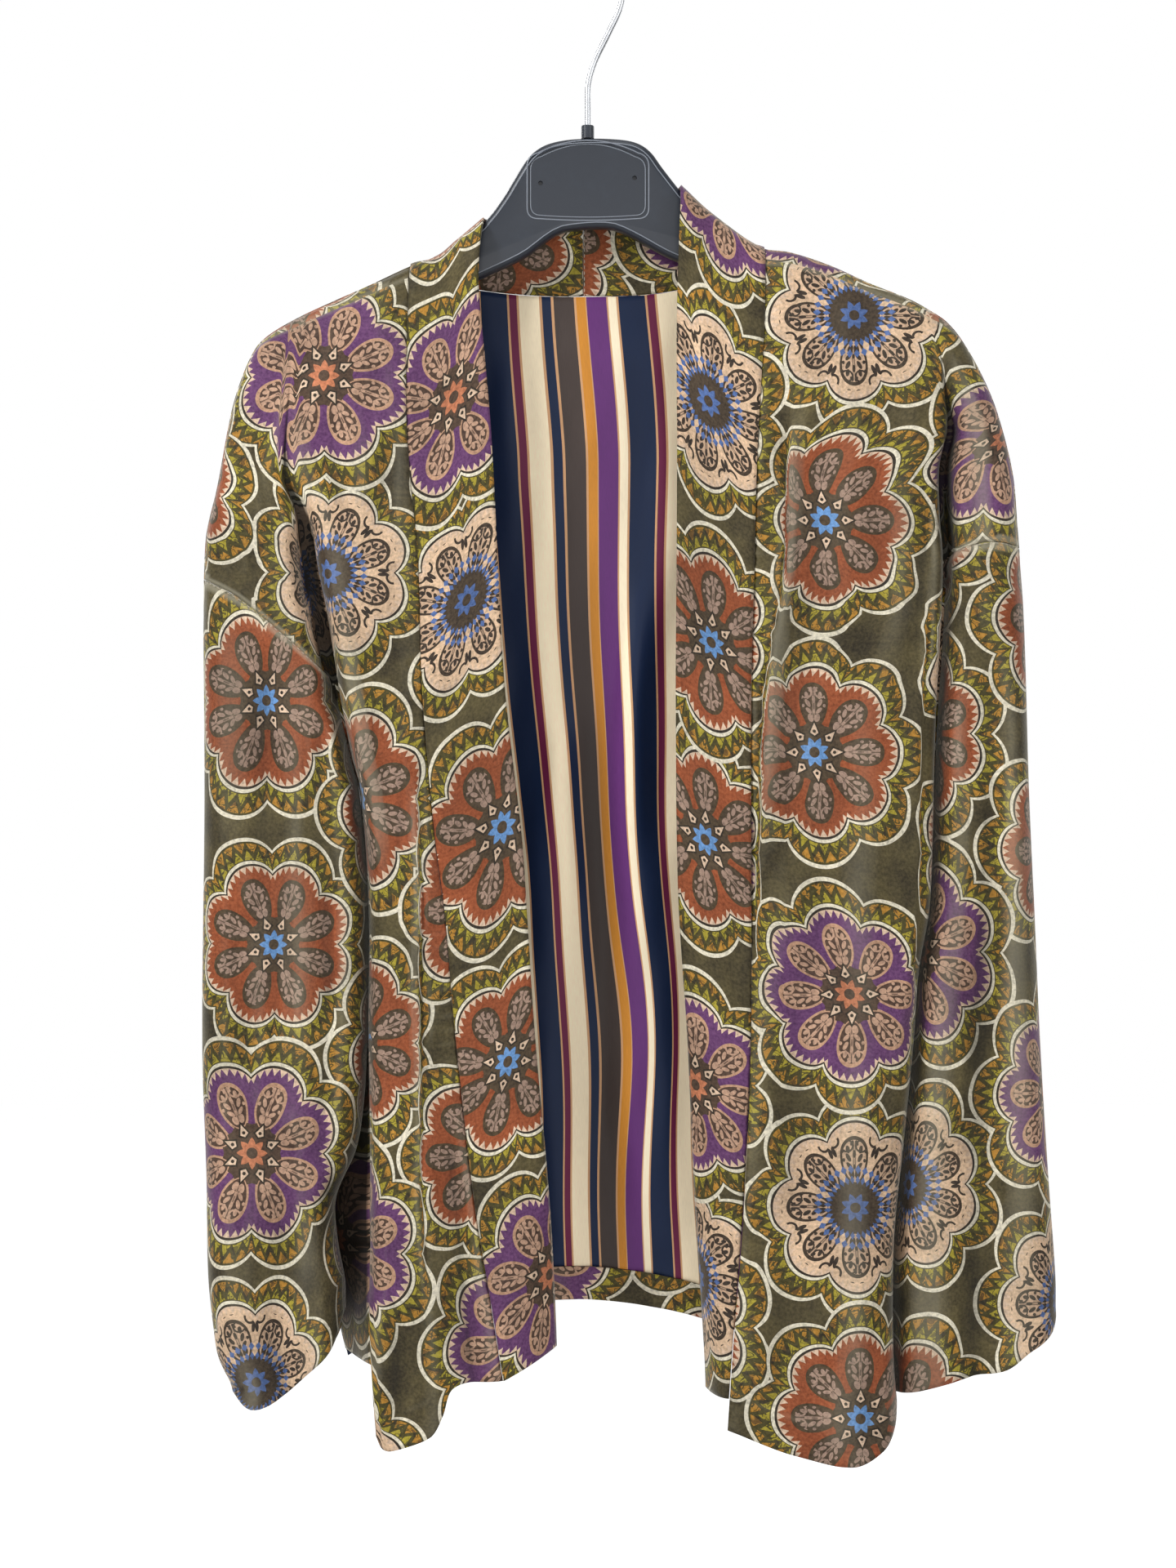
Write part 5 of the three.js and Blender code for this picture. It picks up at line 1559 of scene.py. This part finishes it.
rightSleeve, rightSleevePoints = makeSleeve("right", sleeveRight, "right_sleeve_velvet", 51)
settle(rightSleeve, "sleeve_right", sleeveRight, ["right_front_velvet"])
leftSleeve, leftSleevePoints = makeSleeve("left", sleeveLeft, "left_sleeve_velvet", 71)
settle(leftSleeve, "sleeve_left", sleeveLeft, ["left_front_velvet"])
print("sleeves made")


# Neck and front band.

bandRight = {"flat": (0.048, 0.77), "printAt": (70.0, 12.0)}
bandLeft = {"flat": (0.048, 0.79), "printAt": (24.0, 70.0)}


def makeBand(side, piece, name, seed):
    hemSeam, hemFree = bandHem[side]
    neck, free = markPoint(side, "neck"), markPoint(side, "free")
    inset = sign[side] * seamGap / 2

    def edgeOf(column, low, high, shift):
        def edge(t):
            drop = mix(low, high, np.asarray(t, float))
            return np.stack([bandEdges[side].at("drop", drop, column) - shift, drop], -1)
        return edge

    seamEdge = edgeOf("seam", hemSeam, neck[1], inset)
    freeEdge = edgeOf("free", hemFree, free[1], 0)

    def start(t):
        points = seamEdge(t)
        points[:, 1] -= seamGap * ease(0.9, 1, np.asarray(t, float))
        return points

    def apex(t):
        t = np.asarray(t, float)
        points = outline[side].at(mix(runOf(side, "neck"), runOf(side, "free"), t))
        return points - np.stack([inset * (1 - t), seamGap * (1 - ease(0, 0.2, t))], -1)

    middle = centreBack + inset

    def neckLine(table, column, low, high, lift):
        def edge(t):
            x = mix(low, high, np.asarray(t, float))
            return np.stack([x, table.at("x", x, column) - lift], -1)
        return edge

    across = fractions([0, 0.25, 0.5, 0.75, 1], *meshSteps["bandAcross"])
    alongFront = np.linspace(0, 1, 235)
    front = coons(
        straight(seamEdge(np.array([0.0]))[0], freeEdge(np.array([0.0]))[0]), apex, start, freeEdge,
        across, alongFront,
    )
    neckRows = fractions([0, *alongNeck], *meshSteps["bandNeck"], softStart=True)[1:]
    centreSeam = backNeck.at("x", middle, "seam") - seamGap / 2
    centreTop = backBandTop.at("x", middle, "free")
    backPart = coons(
        apex, straight((middle, centreSeam), (middle, centreTop)),
        neckLine(backNeck, "seam", neck[0] - inset, middle, seamGap / 2),
        neckLine(backBandTop, "free", free[0], middle, 0), across, neckRows,
    )
    x, drop = front[..., 0], front[..., 1]
    curl = bandEdges[side].at("drop", drop, "curl") * across[None] ** 3
    ripple = softRelief("band", x, drop, seed)
    fromSeam = np.abs(x - x[:, :1])
    toFree = np.abs(x - x[:, -1:])
    relief = ripple + seamDitch(fromSeam, 1.0, 1.5) + puckers(drop, fromSeam, 0.35, 8.0, 10)
    relief += 0.7 * np.exp(-((toFree - 2.6) / 2.4) ** 2)
    depth = bodyDepth("front", x, drop) + relief * ease(0, 14, drop - free[1])
    frontPoints = np.stack([x, curl - depth, -drop], -1)
    bx, bdrop = backPart[..., 0], backPart[..., 1]
    backDepth = bodyDepth("back", bx, bdrop)
    toSeam = np.abs(bdrop - bdrop[:, :1])
    calm = ease(0, 20, np.abs(bx - free[0]))
    backDepth += (0.5 * waves(bx, bdrop, 40, seed + 4, 1.0) + seamDitch(toSeam, 0.8, 1.4)) * calm
    backDepth += seamDitch(np.abs(bx - middle), 0.9, 1.2)
    backPoints = np.stack([bx, np.maximum(backDepth, 0.25), -bdrop], -1)
    points = np.concatenate([frontPoints, backPoints])
    uv = stripPlaces(points, len(across) // 2)
    uv[..., 0] *= -sign[side]
    uv += np.array(piece["printAt"])
    obj = meshFromGrid(name, points, uv, flip=side == "left")
    dress(obj, velvetOutside)
    thicken(obj, clothThickness["band"], insideMaterial=False)
    return obj, points


rightBand, rightBandPoints = makeBand("right", bandRight, "right_band_velvet", 91)
settle(rightBand, "band_right", bandRight, ["hanger_body", "right_front_velvet"])
leftBand, _ = makeBand("left", bandLeft, "left_band_velvet", 97)
settle(leftBand, "band_left", bandLeft, ["hanger_body", "left_front_velvet"])
print("bands made")


# Inside of the back: striped lining and the turned-up hem.

lining = {
    "flat": (0.26, 0.56),
    "area": 0.112,
    "top": (-76, 72),
    "hemSpan": (38, 296),
    "hemTurn": 19.0,
    "standsOff": 1.6,
    "seed": 201,
    "stripes": Table("drop start width", [  # where a repeat starts and how wide it shows between folds
        (150, -48, 78), (207, -44.6, 78), (286, -39.6, 78), (314, -38.5, 77.5), (357, -34.9, 74),
        (401, -31, 70), (444, -27.5, 67), (488, -23.9, 64), (532, -19.5, 61), (575, -17.4, 60),
        (619, -15.9, 59), (662, -14.5, 58), (706, -13.3, 59), (743, -11.9, 60), (790, -10.5, 61),
    ]),
}
hemStrip = {"flat": (0.27, 0.02), "printAt": (40.0, 20.0)}


insideGap = 2.2  # from the middle of the back's cloth to the face of what lies inside it


def insideDepth(x, drop, thickness):
    gap = insideGap + thickness / 2
    return hangDepth.at("drop", drop, "back") + np.minimum(mainRelief("back", x, drop), 0) - gap


def hemInside(rise):
    def edge(t):
        points = backHem.at(mix(*lining["hemSpan"], np.asarray(t, float)))
        points[:, 1] -= rise
        return points
    return edge


def liningTopEdge(t):
    x = mix(*lining["top"], np.asarray(t, float))
    return np.stack([x, backNeck.at("x", x, "seam") + 0.6], -1)


def makeInside(name, top, bottom, rows, columns, thickness, relief, uvOf, material):
    ends = np.array([0.0, 1.0])
    (ta, tb), (ba, bb) = top(ends), bottom(ends)
    across, down = np.linspace(0, 1, columns), np.linspace(0, 1, rows)
    grid = coons(top, bottom, straight(ta, ba), straight(tb, bb), across, down)
    x, drop = grid[..., 0], grid[..., 1]
    y = insideDepth(x, drop, thickness) - relief(x, drop, down[:, None])
    points = np.stack([x, y, -drop], -1)
    obj = meshFromGrid(name, points, uvOf(x, drop), tone=foldShadeAndHighlight(points, -1))
    dress(obj, material)
    thicken(obj, thickness, insideMaterial=False)
    return obj


def liningRelief(x, drop, down):
    fade = ease(0, 0.06, down) * ease(0, 0.04, 1 - down)
    folds = [
        dict(line=[(230, -52), (380, -40), (560, -22), (740, -18)], ridge=4.4, width=9, lean=1),
        dict(line=[(260, 26), (420, 12), (600, 16), (750, 22)], ridge=5.2, width=10, lean=1),
        dict(line=[(300, 40), (460, 36), (620, 40), (760, 48)], ridge=4.4, width=8, lean=-1),
        dict(line=[(420, -10), (520, -2), (640, -6)], ridge=3.0, width=8, lean=-1),
    ]
    soft = lining["standsOff"] + softRelief("lining", x, drop, lining["seed"])
    return np.maximum(foldRelief(folds, x, drop) + soft, 0) * fade + 0.2


def liningPlaces(x, drop):
    sway = 0.7 * np.sin(drop / 62 + 0.6) + 0.7 * np.sin(drop / 27 + x / 40)
    sway -= 6.5 * np.exp(-((drop - 625) / 75) ** 2 - ((x - 30) / 24) ** 2)  # the stripes bow out over a fold
    start, width = (lining["stripes"].at("drop", drop, column) for column in ("start", "width"))
    return np.stack([(x - start + sway) * stripes["width"] / width, -drop], -1)


liningPiece = makeInside(
    "back_lining_satin", liningTopEdge, hemInside(lining["hemTurn"] + 0.3), 190, 96,
    clothThickness["lining"], liningRelief, liningPlaces, liningSatin,
)
settle(liningPiece, "back_lining", lining, ["back_velvet"])


def hemPlaces(x, drop):
    return np.stack([x, -drop], -1) + np.array(hemStrip["printAt"])


def hemStripRelief(x, drop, down):
    return 0.25 + 0.3 * np.sin(x / 4.3) * np.exp(-down * 4) + 0.2 * waves(x, drop, 30, 88)


hemPiece = makeInside(
    "back_hem_velvet", hemInside(lining["hemTurn"]), hemInside(0.5), 9, 110, clothThickness["hem"],
    hemStripRelief, hemPlaces, velvetOutside,
)
settle(hemPiece, "back_hem", hemStrip, ["back_velvet"])
print("inside made")


# Hanger.

hanger = {
    "thickness": 12.0,
    "bevel": 4.0,
    "clearance": 2.8,
    "armEnds": (5.0, 4.0),  # from the tip and from the neck edge, along the shoulder
    "top": Table("x drop", [
        (-55.0, 162.4), (-46.4, 150.1), (-41.4, 141.7), (-34.6, 130.8), (-29.6, 125.6), (-22.8, 121.7),
        (-12.7, 119.3), (0.0, 118.4), (14.2, 118.7), (24.3, 120.0), (31.0, 122.8), (36.1, 127.3),
        (40.3, 133.3), (45.4, 140.0), (48.7, 144.3),
    ]),
    "under": Table("x drop", [
        (-172.0, 249.0), (-61.9, 197.2), (-35.0, 184.5), (-21.4, 174.4), (-13.2, 170.2), (11.4, 168.5),
        (22.8, 172.6), (47.8, 185.8), (196.0, 242.0),
    ]),
    "topSpan": (-55.0, 48.6),
    "underSpan": (196.0, -172.0),
    "plate": {
        "halfWidth": 32.8, "top": 121.8, "shoulder": 129.5, "bottom": 162.5, "corner": 6.0, "depth": 0.8,
    },
    "lines": ((-1.0, 0.36), (0.9, 0.3)),  # inset and radius of the fine raised lines round the plate
    "rim": (2.9, 0.34),
    "pins": ((-26.4, 143.6), (25.9, 140.8)),
    "pinRadius": 1.3,
    "pinDepth": 3,
}
hook = {
    "radius": 1.8,
    "loop": 22.0,
    "turn": (-8, 205),
    "centreX": -0.9,
    "stem": [(-0.2, 117.4), (-0.2, 104.0), (0.0, 88.0), (3.6, 75.0), (11.4, 58.9), (18.0, 44.0)],
}


def tubeMesh(name, points, radius, sides, closed=False, capped=False):
    # A round tube along points in the hanging plane; rings lie between its normal there and Y.
    points = np.asarray(points, float)
    radii = np.full(len(points), float(radius))
    ahead = np.roll(points, -1, 0) - np.roll(points, 1, 0)
    if not closed:
        ahead[0], ahead[-1] = points[1] - points[0], points[-1] - points[-2]
    ahead /= np.linalg.norm(ahead, axis=1)[:, None]
    if capped:
        steps = np.radians([25, 50, 70, 84])
        tip = [points[-1] + ahead[-1] * radius * math.sin(t) for t in steps]
        points = np.concatenate([points, tip])
        ahead = np.concatenate([ahead, np.repeat(ahead[-1:], len(steps), 0)])
        radii = np.concatenate([radii, radius * np.cos(steps)])
    aside = np.stack([ahead[:, 2], np.zeros(len(ahead)), -ahead[:, 0]], -1)
    turn = np.linspace(0, 2 * math.pi, sides, endpoint=False)
    rings = points[:, None] + radii[:, None, None] * (
        np.cos(turn)[None, :, None] * aside[:, None] + np.sin(turn)[None, :, None] * np.array([0, 1, 0])
    )
    count = len(points)
    faces = []
    for i in range(count if closed else count - 1):
        k = (i + 1) % count
        for j in range(sides):
            n = (j + 1) % sides
            faces.append((i * sides + j, i * sides + n, k * sides + n, k * sides + j))
    if not closed:
        faces += [tuple(range(sides - 1, -1, -1)), tuple((count - 1) * sides + j for j in range(sides))]
    mesh = bpy.data.meshes.new(name)
    mesh.from_pydata((rings.reshape(-1, 3) * 0.001).tolist(), [], faces)
    return tidyShape(mesh)


def tidyShape(mesh):
    work = bmesh.new()
    work.from_mesh(mesh)
    bmesh.ops.recalc_face_normals(work, faces=work.faces)
    work.to_mesh(mesh)
    work.free()
    mesh.shade_smooth()
    return mesh


def newPiece(name, mesh):
    obj = bpy.data.objects.new(name, mesh)
    bpy.context.collection.objects.link(obj)
    return obj


def armTop(side, count):
    fromTip, fromFree = hanger["armEnds"]
    run = np.linspace(runOf(side, "tip") - fromTip, runOf(side, "free") + fromFree, count)
    here, ahead = outline[side].at(run), outline[side].at(run + 0.4)
    step = np.abs(ahead - here)
    below = hanger["clearance"] / np.hypot(step[:, 0], step[:, 1])
    return np.stack([here[:, 0] - step[:, 1] * below * sign[side], here[:, 1] + step[:, 0] * below], -1)


def hangerOutline():
    topX = np.linspace(*hanger["topSpan"], 52)[1:-1]
    underX = np.linspace(*hanger["underSpan"], 80)
    return np.concatenate([
        armTop("right", 36),
        np.stack([topX, hanger["top"].at("x", topX, "drop")], -1),
        armTop("left", 36)[::-1],
        np.stack([underX, hanger["under"].at("x", underX, "drop")], -1),
    ])


def insetLine(points, distance):
    ahead, behind = np.roll(points, -1, 0) - points, points - np.roll(points, 1, 0)
    normals = []
    for edge in (ahead, behind):
        edge = edge / np.maximum(np.linalg.norm(edge, axis=1), 1e-6)[:, None]
        normals.append(np.stack([-edge[:, 1], edge[:, 0]], -1))
    both = normals[0] + normals[1]
    both /= np.maximum(np.linalg.norm(both, axis=1), 0.7)[:, None]
    return points + both * distance


def plateOutline(inset=0.0, steps=9):
    plate = hanger["plate"]
    w, top, shoulder = plate["halfWidth"] - inset, plate["top"] + inset, plate["shoulder"] + inset
    bottom, corner = plate["bottom"] - inset, plate["corner"]

    def bow(a, b, c, count=steps):
        t = np.linspace(0, 1, count, endpoint=False)[:, None]
        a, b, c = np.array(a), np.array(b), np.array(c)
        return (1 - t) ** 2 * a + 2 * t * (1 - t) * b + t ** 2 * c

    upper = shoulder - 1.5
    return np.concatenate([
        bow((-w, bottom - corner), (-w, (bottom + shoulder) / 2), (-w, shoulder + corner)),
        bow((-w, shoulder + corner), (-w, shoulder), (-w + corner, upper)),
        bow((-w + corner, upper), (0, 2 * top - shoulder), (w - corner, upper), 24),
        bow((w - corner, upper), (w, shoulder), (w, shoulder + corner)),
        bow((w, shoulder + corner), (w, (bottom + shoulder) / 2), (w, bottom - corner)),
        bow((w, bottom - corner), (w, bottom), (w - corner, bottom)),
        bow((w - corner, bottom), (0, bottom + 2), (-w + corner, bottom), 24),
        bow((-w + corner, bottom), (-w, bottom), (-w, bottom - corner)),
    ])


def prism(name, points, front, rear):
    count = len(points)
    verts = [(x * 0.001, y * 0.001, -drop * 0.001) for y in (front, rear) for x, drop in points]
    faces = [(i, (i + 1) % count, count + (i + 1) % count, count + i) for i in range(count)]
    faces += [tuple(range(count - 1, -1, -1)), tuple(range(count, 2 * count))]
    mesh = bpy.data.meshes.new(name)
    mesh.from_pydata(verts, [], faces)
    return newPiece(name, tidyShape(mesh))


# The raised line is dressed in the paler slate, a painted highlight.
def raiseLine(name, points, radius):
    lip = newPiece(name, tubeMesh(name, points, radius, 8, closed=True))
    dress(lip, highlightSlate)
    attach(lip, "root")


def makeHanger():
    around = hangerOutline()
    half, bevel = hanger["thickness"] / 2, hanger["bevel"]
    angles = np.radians(np.linspace(90, 0, 7))
    section = [(bevel * (1 - math.cos(a)), -(half - bevel) - bevel * math.sin(a)) for a in angles]
    section += [(inset, -y) for inset, y in section[::-1]]
    verts, count = [], len(around)
    for inset, y in section:
        verts += [(x * 0.001, y * 0.001, -drop * 0.001) for x, drop in insetLine(around, inset)]
    faces = []
    for k in range(len(section) - 1):
        for i in range(count):
            j = (i + 1) % count
            faces.append((k * count + i, k * count + j, (k + 1) * count + j, (k + 1) * count + i))
    faces += [tuple(range(count)), tuple(range(len(verts) - 1, len(verts) - 1 - count, -1))]
    mesh = bpy.data.meshes.new("hanger_plate")
    mesh.from_pydata(verts, [], faces)
    obj = newPiece("hanger_plate", tidyShape(mesh))
    depth = hanger["plate"]["depth"]
    cutters = [prism("plate cutter", plateOutline(), -half - 1, -half + depth)]
    for x, drop in hanger["pins"]:
        turn = np.linspace(0, 2 * math.pi, 20, endpoint=False)
        ring = np.array([x, drop]) + hanger["pinRadius"] * np.stack([np.cos(turn), np.sin(turn)], -1)
        cutters.append(prism("pin cutter", ring, -half - 1, -half + hanger["pinDepth"]))
    for cutter in cutters:
        cut = obj.modifiers.new("cut", "BOOLEAN")
        cut.operation, cut.solver, cut.object = "DIFFERENCE", "EXACT", cutter
    finishMesh(obj)
    for cutter in cutters:
        bpy.data.objects.remove(cutter)
    obj.data.set_sharp_from_angle(angle=math.radians(38))
    dress(obj, slatePlastic)
    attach(obj, "root")
    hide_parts("hanger_body")
    for number, (inset, radius) in enumerate(hanger["lines"]):
        line = plateOutline(inset)
        y = -half if number == 0 else -half + depth
        points = np.stack([line[:, 0], np.full(len(line), y), -line[:, 1]], -1)
        raiseLine(f"hanger_line_{number + 1}", points, radius)
    inset, radius = hanger["rim"]
    line = insetLine(around, inset)
    raiseLine("hanger_rim", np.stack([line[:, 0], np.full(len(line), -half + 0.12), -line[:, 1]], -1), radius)


def makeHook():
    low, high = hook["turn"]
    turn = np.radians(np.linspace(low, high, 13))
    centreX, centreDrop = hook["centreX"], hook["loop"] - hook["radius"]
    loop = np.stack([centreX + np.cos(turn) * hook["loop"], centreDrop - np.sin(turn) * hook["loop"]], -1)
    line = Path(np.concatenate([np.array(hook["stem"]), loop]))
    flat = line.at(np.linspace(0, line.length, 150))
    points = np.stack([flat[:, 0], np.zeros(len(flat)), -flat[:, 1]], -1)
    wire = newPiece("hook_wire", tubeMesh("hook wire", points, hook["radius"], 18, capped=True))
    dress(wire, hookSteel)
    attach(wire, "root")
    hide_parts("hanger_hook")


makeHanger()
makeHook()
dress(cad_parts["hanger_ferrule"], slatePlastic)
print("hanger made")


# Stitches: small thread capsules along a seam, made by one node tree.

stitch = {
    "step": 0.0032,
    "thickness": 0.00022,
    "length": 5.2,  # in thicknesses
    "standsOut": 1.35,  # from the middle of the cloth to the thread
    "openFrom": 6,  # no stitches where front and back lie closer to the middle than this
    "onBand": (0.9, -1.3, 0),
}


def stitchTree():
    tree = bpy.data.node_groups.new("stitch row", "GeometryNodeTree")
    for title, way, kind in (
        ("Seam", "INPUT", "NodeSocketGeometry"), ("Step", "INPUT", "NodeSocketFloat"),
        ("Thickness", "INPUT", "NodeSocketFloat"), ("Length", "INPUT", "NodeSocketFloat"),
        ("Thread", "INPUT", "NodeSocketMaterial"), ("Stitches", "OUTPUT", "NodeSocketGeometry"),
    ):
        tree.interface.new_socket(title, in_out=way, socket_type=kind)
    inward, outward = tree.nodes.new("NodeGroupInput"), tree.nodes.new("NodeGroupOutput")
    curve = node(tree, "GeometryNodeMeshToCurve", {"Mesh": inward.outputs["Seam"]})
    even = node(tree, "GeometryNodeResampleCurve", {
        "Curve": curve.outputs[0], "Length": inward.outputs["Step"],
    }, mode="LENGTH")
    capsule = node(tree, "GeometryNodeMeshUVSphere", {
        "Segments": 6, "Rings": 5, "Radius": inward.outputs["Thickness"],
    })
    stretch = node(tree, "ShaderNodeCombineXYZ", {0: 1.0, 1: 1.0, 2: inward.outputs["Length"]})
    longer = node(tree, "GeometryNodeTransform", {
        "Geometry": capsule.outputs[0], "Scale": stretch.outputs[0],
    })
    tangent = node(tree, "GeometryNodeInputTangent")
    aim = node(tree, "FunctionNodeAlignRotationToVector", {"Vector": tangent.outputs[0]}, axis="Z")
    placed = node(tree, "GeometryNodeInstanceOnPoints", {
        "Points": even.outputs[0], "Instance": longer.outputs[0], "Rotation": aim.outputs[0],
    })
    real = node(tree, "GeometryNodeRealizeInstances", {"Geometry": placed.outputs[0]})
    smooth = node(tree, "GeometryNodeSetShadeSmooth", {"Geometry": real.outputs[0]})
    dressed = node(tree, "GeometryNodeSetMaterial", {
        "Geometry": smooth.outputs[0], "Material": inward.outputs["Thread"],
    })
    tree.links.new(dressed.outputs[0], outward.inputs[0])
    return tree


stitchRow = stitchTree()


def sewSeam(name, points):
    points = points[~np.isnan(points[:, 0])]
    mesh = bpy.data.meshes.new(name)
    mesh.from_pydata((points * 0.001).tolist(), [(i, i + 1) for i in range(len(points) - 1)], [])
    obj = newPiece(name, mesh)
    rows = obj.modifiers.new("stitches", "NODES")
    rows.node_group = stitchRow
    values = {
        "Step": stitch["step"], "Thickness": stitch["thickness"], "Length": stitch["length"],
        "Thread": seamThread,
    }
    for socket in stitchRow.interface.items_tree:
        if socket.in_out == "INPUT" and socket.name in values:
            rows[socket.identifier] = values[socket.name]
    finishMesh(obj)
    dress(obj, seamThread)
    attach(obj, "root")


def sleeveSeamLines(points):
    line = points[0] + (points[1] - points[0]) * 0.25
    line[:, 1] += np.sign(line[:, 1]) * stitch["standsOut"]
    keep = np.abs(points[0][:, 1]) > stitch["openFrom"]
    half = len(line) // 2
    return [line[:half][keep[:half]], line[half:][keep[half:]]]


for side, points in (("right", rightSleevePoints), ("left", leftSleevePoints)):
    for where, line in zip(("front", "back"), sleeveSeamLines(points)):
        sewSeam(f"{side}_sleeve_stitches_{where}", line)
sewSeam("centre_back_stitches", rightBandPoints[-1] + np.array(stitch["onBand"]))
print("seams stitched")


# Studio.

studio = {"floor": -1.3, "radius": 7.0, "glow": 0.18, "gloss": 0.55, "paper": 0.8}


def addFloor():
    work = bmesh.new()
    bmesh.ops.create_circle(work, cap_ends=True, cap_tris=False, segments=96, radius=studio["radius"])
    for vert in work.verts:
        vert.co.z = studio["floor"]
    mesh = bpy.data.meshes.new("floor")
    work.to_mesh(mesh)
    work.free()
    obj = newPiece("floor", mesh)
    material, tree, shader = newMaterial("pale floor")
    place = node(tree, "ShaderNodeTexCoord").outputs["Object"]
    tone = noiseIn(tree, place, 3.0)
    tint = blendColours(tree, tone.outputs["Fac"], (0.9, 0.9, 0.9), (0.93, 0.93, 0.93))
    tree.links.new(tint, shader.inputs["Base Color"])
    shader.inputs["Roughness"].default_value = 0.9
    seen = node(tree, "ShaderNodeLightPath").outputs["Is Camera Ray"]
    tree.links.new(blendColours(tree, seen, (0, 0, 0), (1, 1, 1)), shader.inputs["Emission Color"])
    shader.inputs["Emission Strength"].default_value = studio["paper"]
    dress(obj, material)


def addSurroundings():
    world = bpy.data.worlds.new("studio")
    bpy.context.scene.world = world
    world.use_nodes = True
    tree = world.node_tree
    paper = tree.nodes["Background"]
    paper.inputs["Color"].default_value = (1, 1, 1, 1)
    rays = node(tree, "ShaderNodeLightPath")
    mirrored = blendValues(tree, rays.outputs["Is Glossy Ray"], studio["glow"], studio["gloss"])
    strength = blendValues(tree, rays.outputs["Is Camera Ray"], mirrored, 1.0)
    tree.links.new(strength.socket, paper.inputs["Strength"])


def addLamp(name, place, aim, size, power):
    data = bpy.data.lights.new(name, "AREA")
    data.shape = "RECTANGLE"
    data.size, data.size_y = size
    data.energy = power
    lamp = bpy.data.objects.new(name, data)
    lamp.location = place
    lamp.rotation_euler = (Vector(aim) - Vector(place)).to_track_quat("-Z", "Y").to_euler()
    bpy.context.collection.objects.link(lamp)


addFloor()
addSurroundings()
addLamp("window left", (-1.35, -1.25, 0.7), (0, 0, -0.45), (0.5, 0.7), 28)
addLamp("window right", (1.6, -1.5, 0.0), (0, 0, -0.5), (0.9, 1.1), 10)
addLamp("front fill", (0.15, -2.3, -0.35), (0, 0, -0.5), (1.3, 1.3), 10)
addLamp("ceiling", (0, -0.5, 1.2), (0, 0, -0.4), (1.2, 0.8), 7)
addLamp("rear left", (-1.2, 1.7, 0.6), (0, 0, -0.45), (0.8, 0.9), 16)
addLamp("rear right", (1.5, 1.5, 0.2), (0, 0, -0.5), (0.9, 1.1), 7)
bpy.context.scene.view_settings.view_transform = "Standard"
print("studio lit")
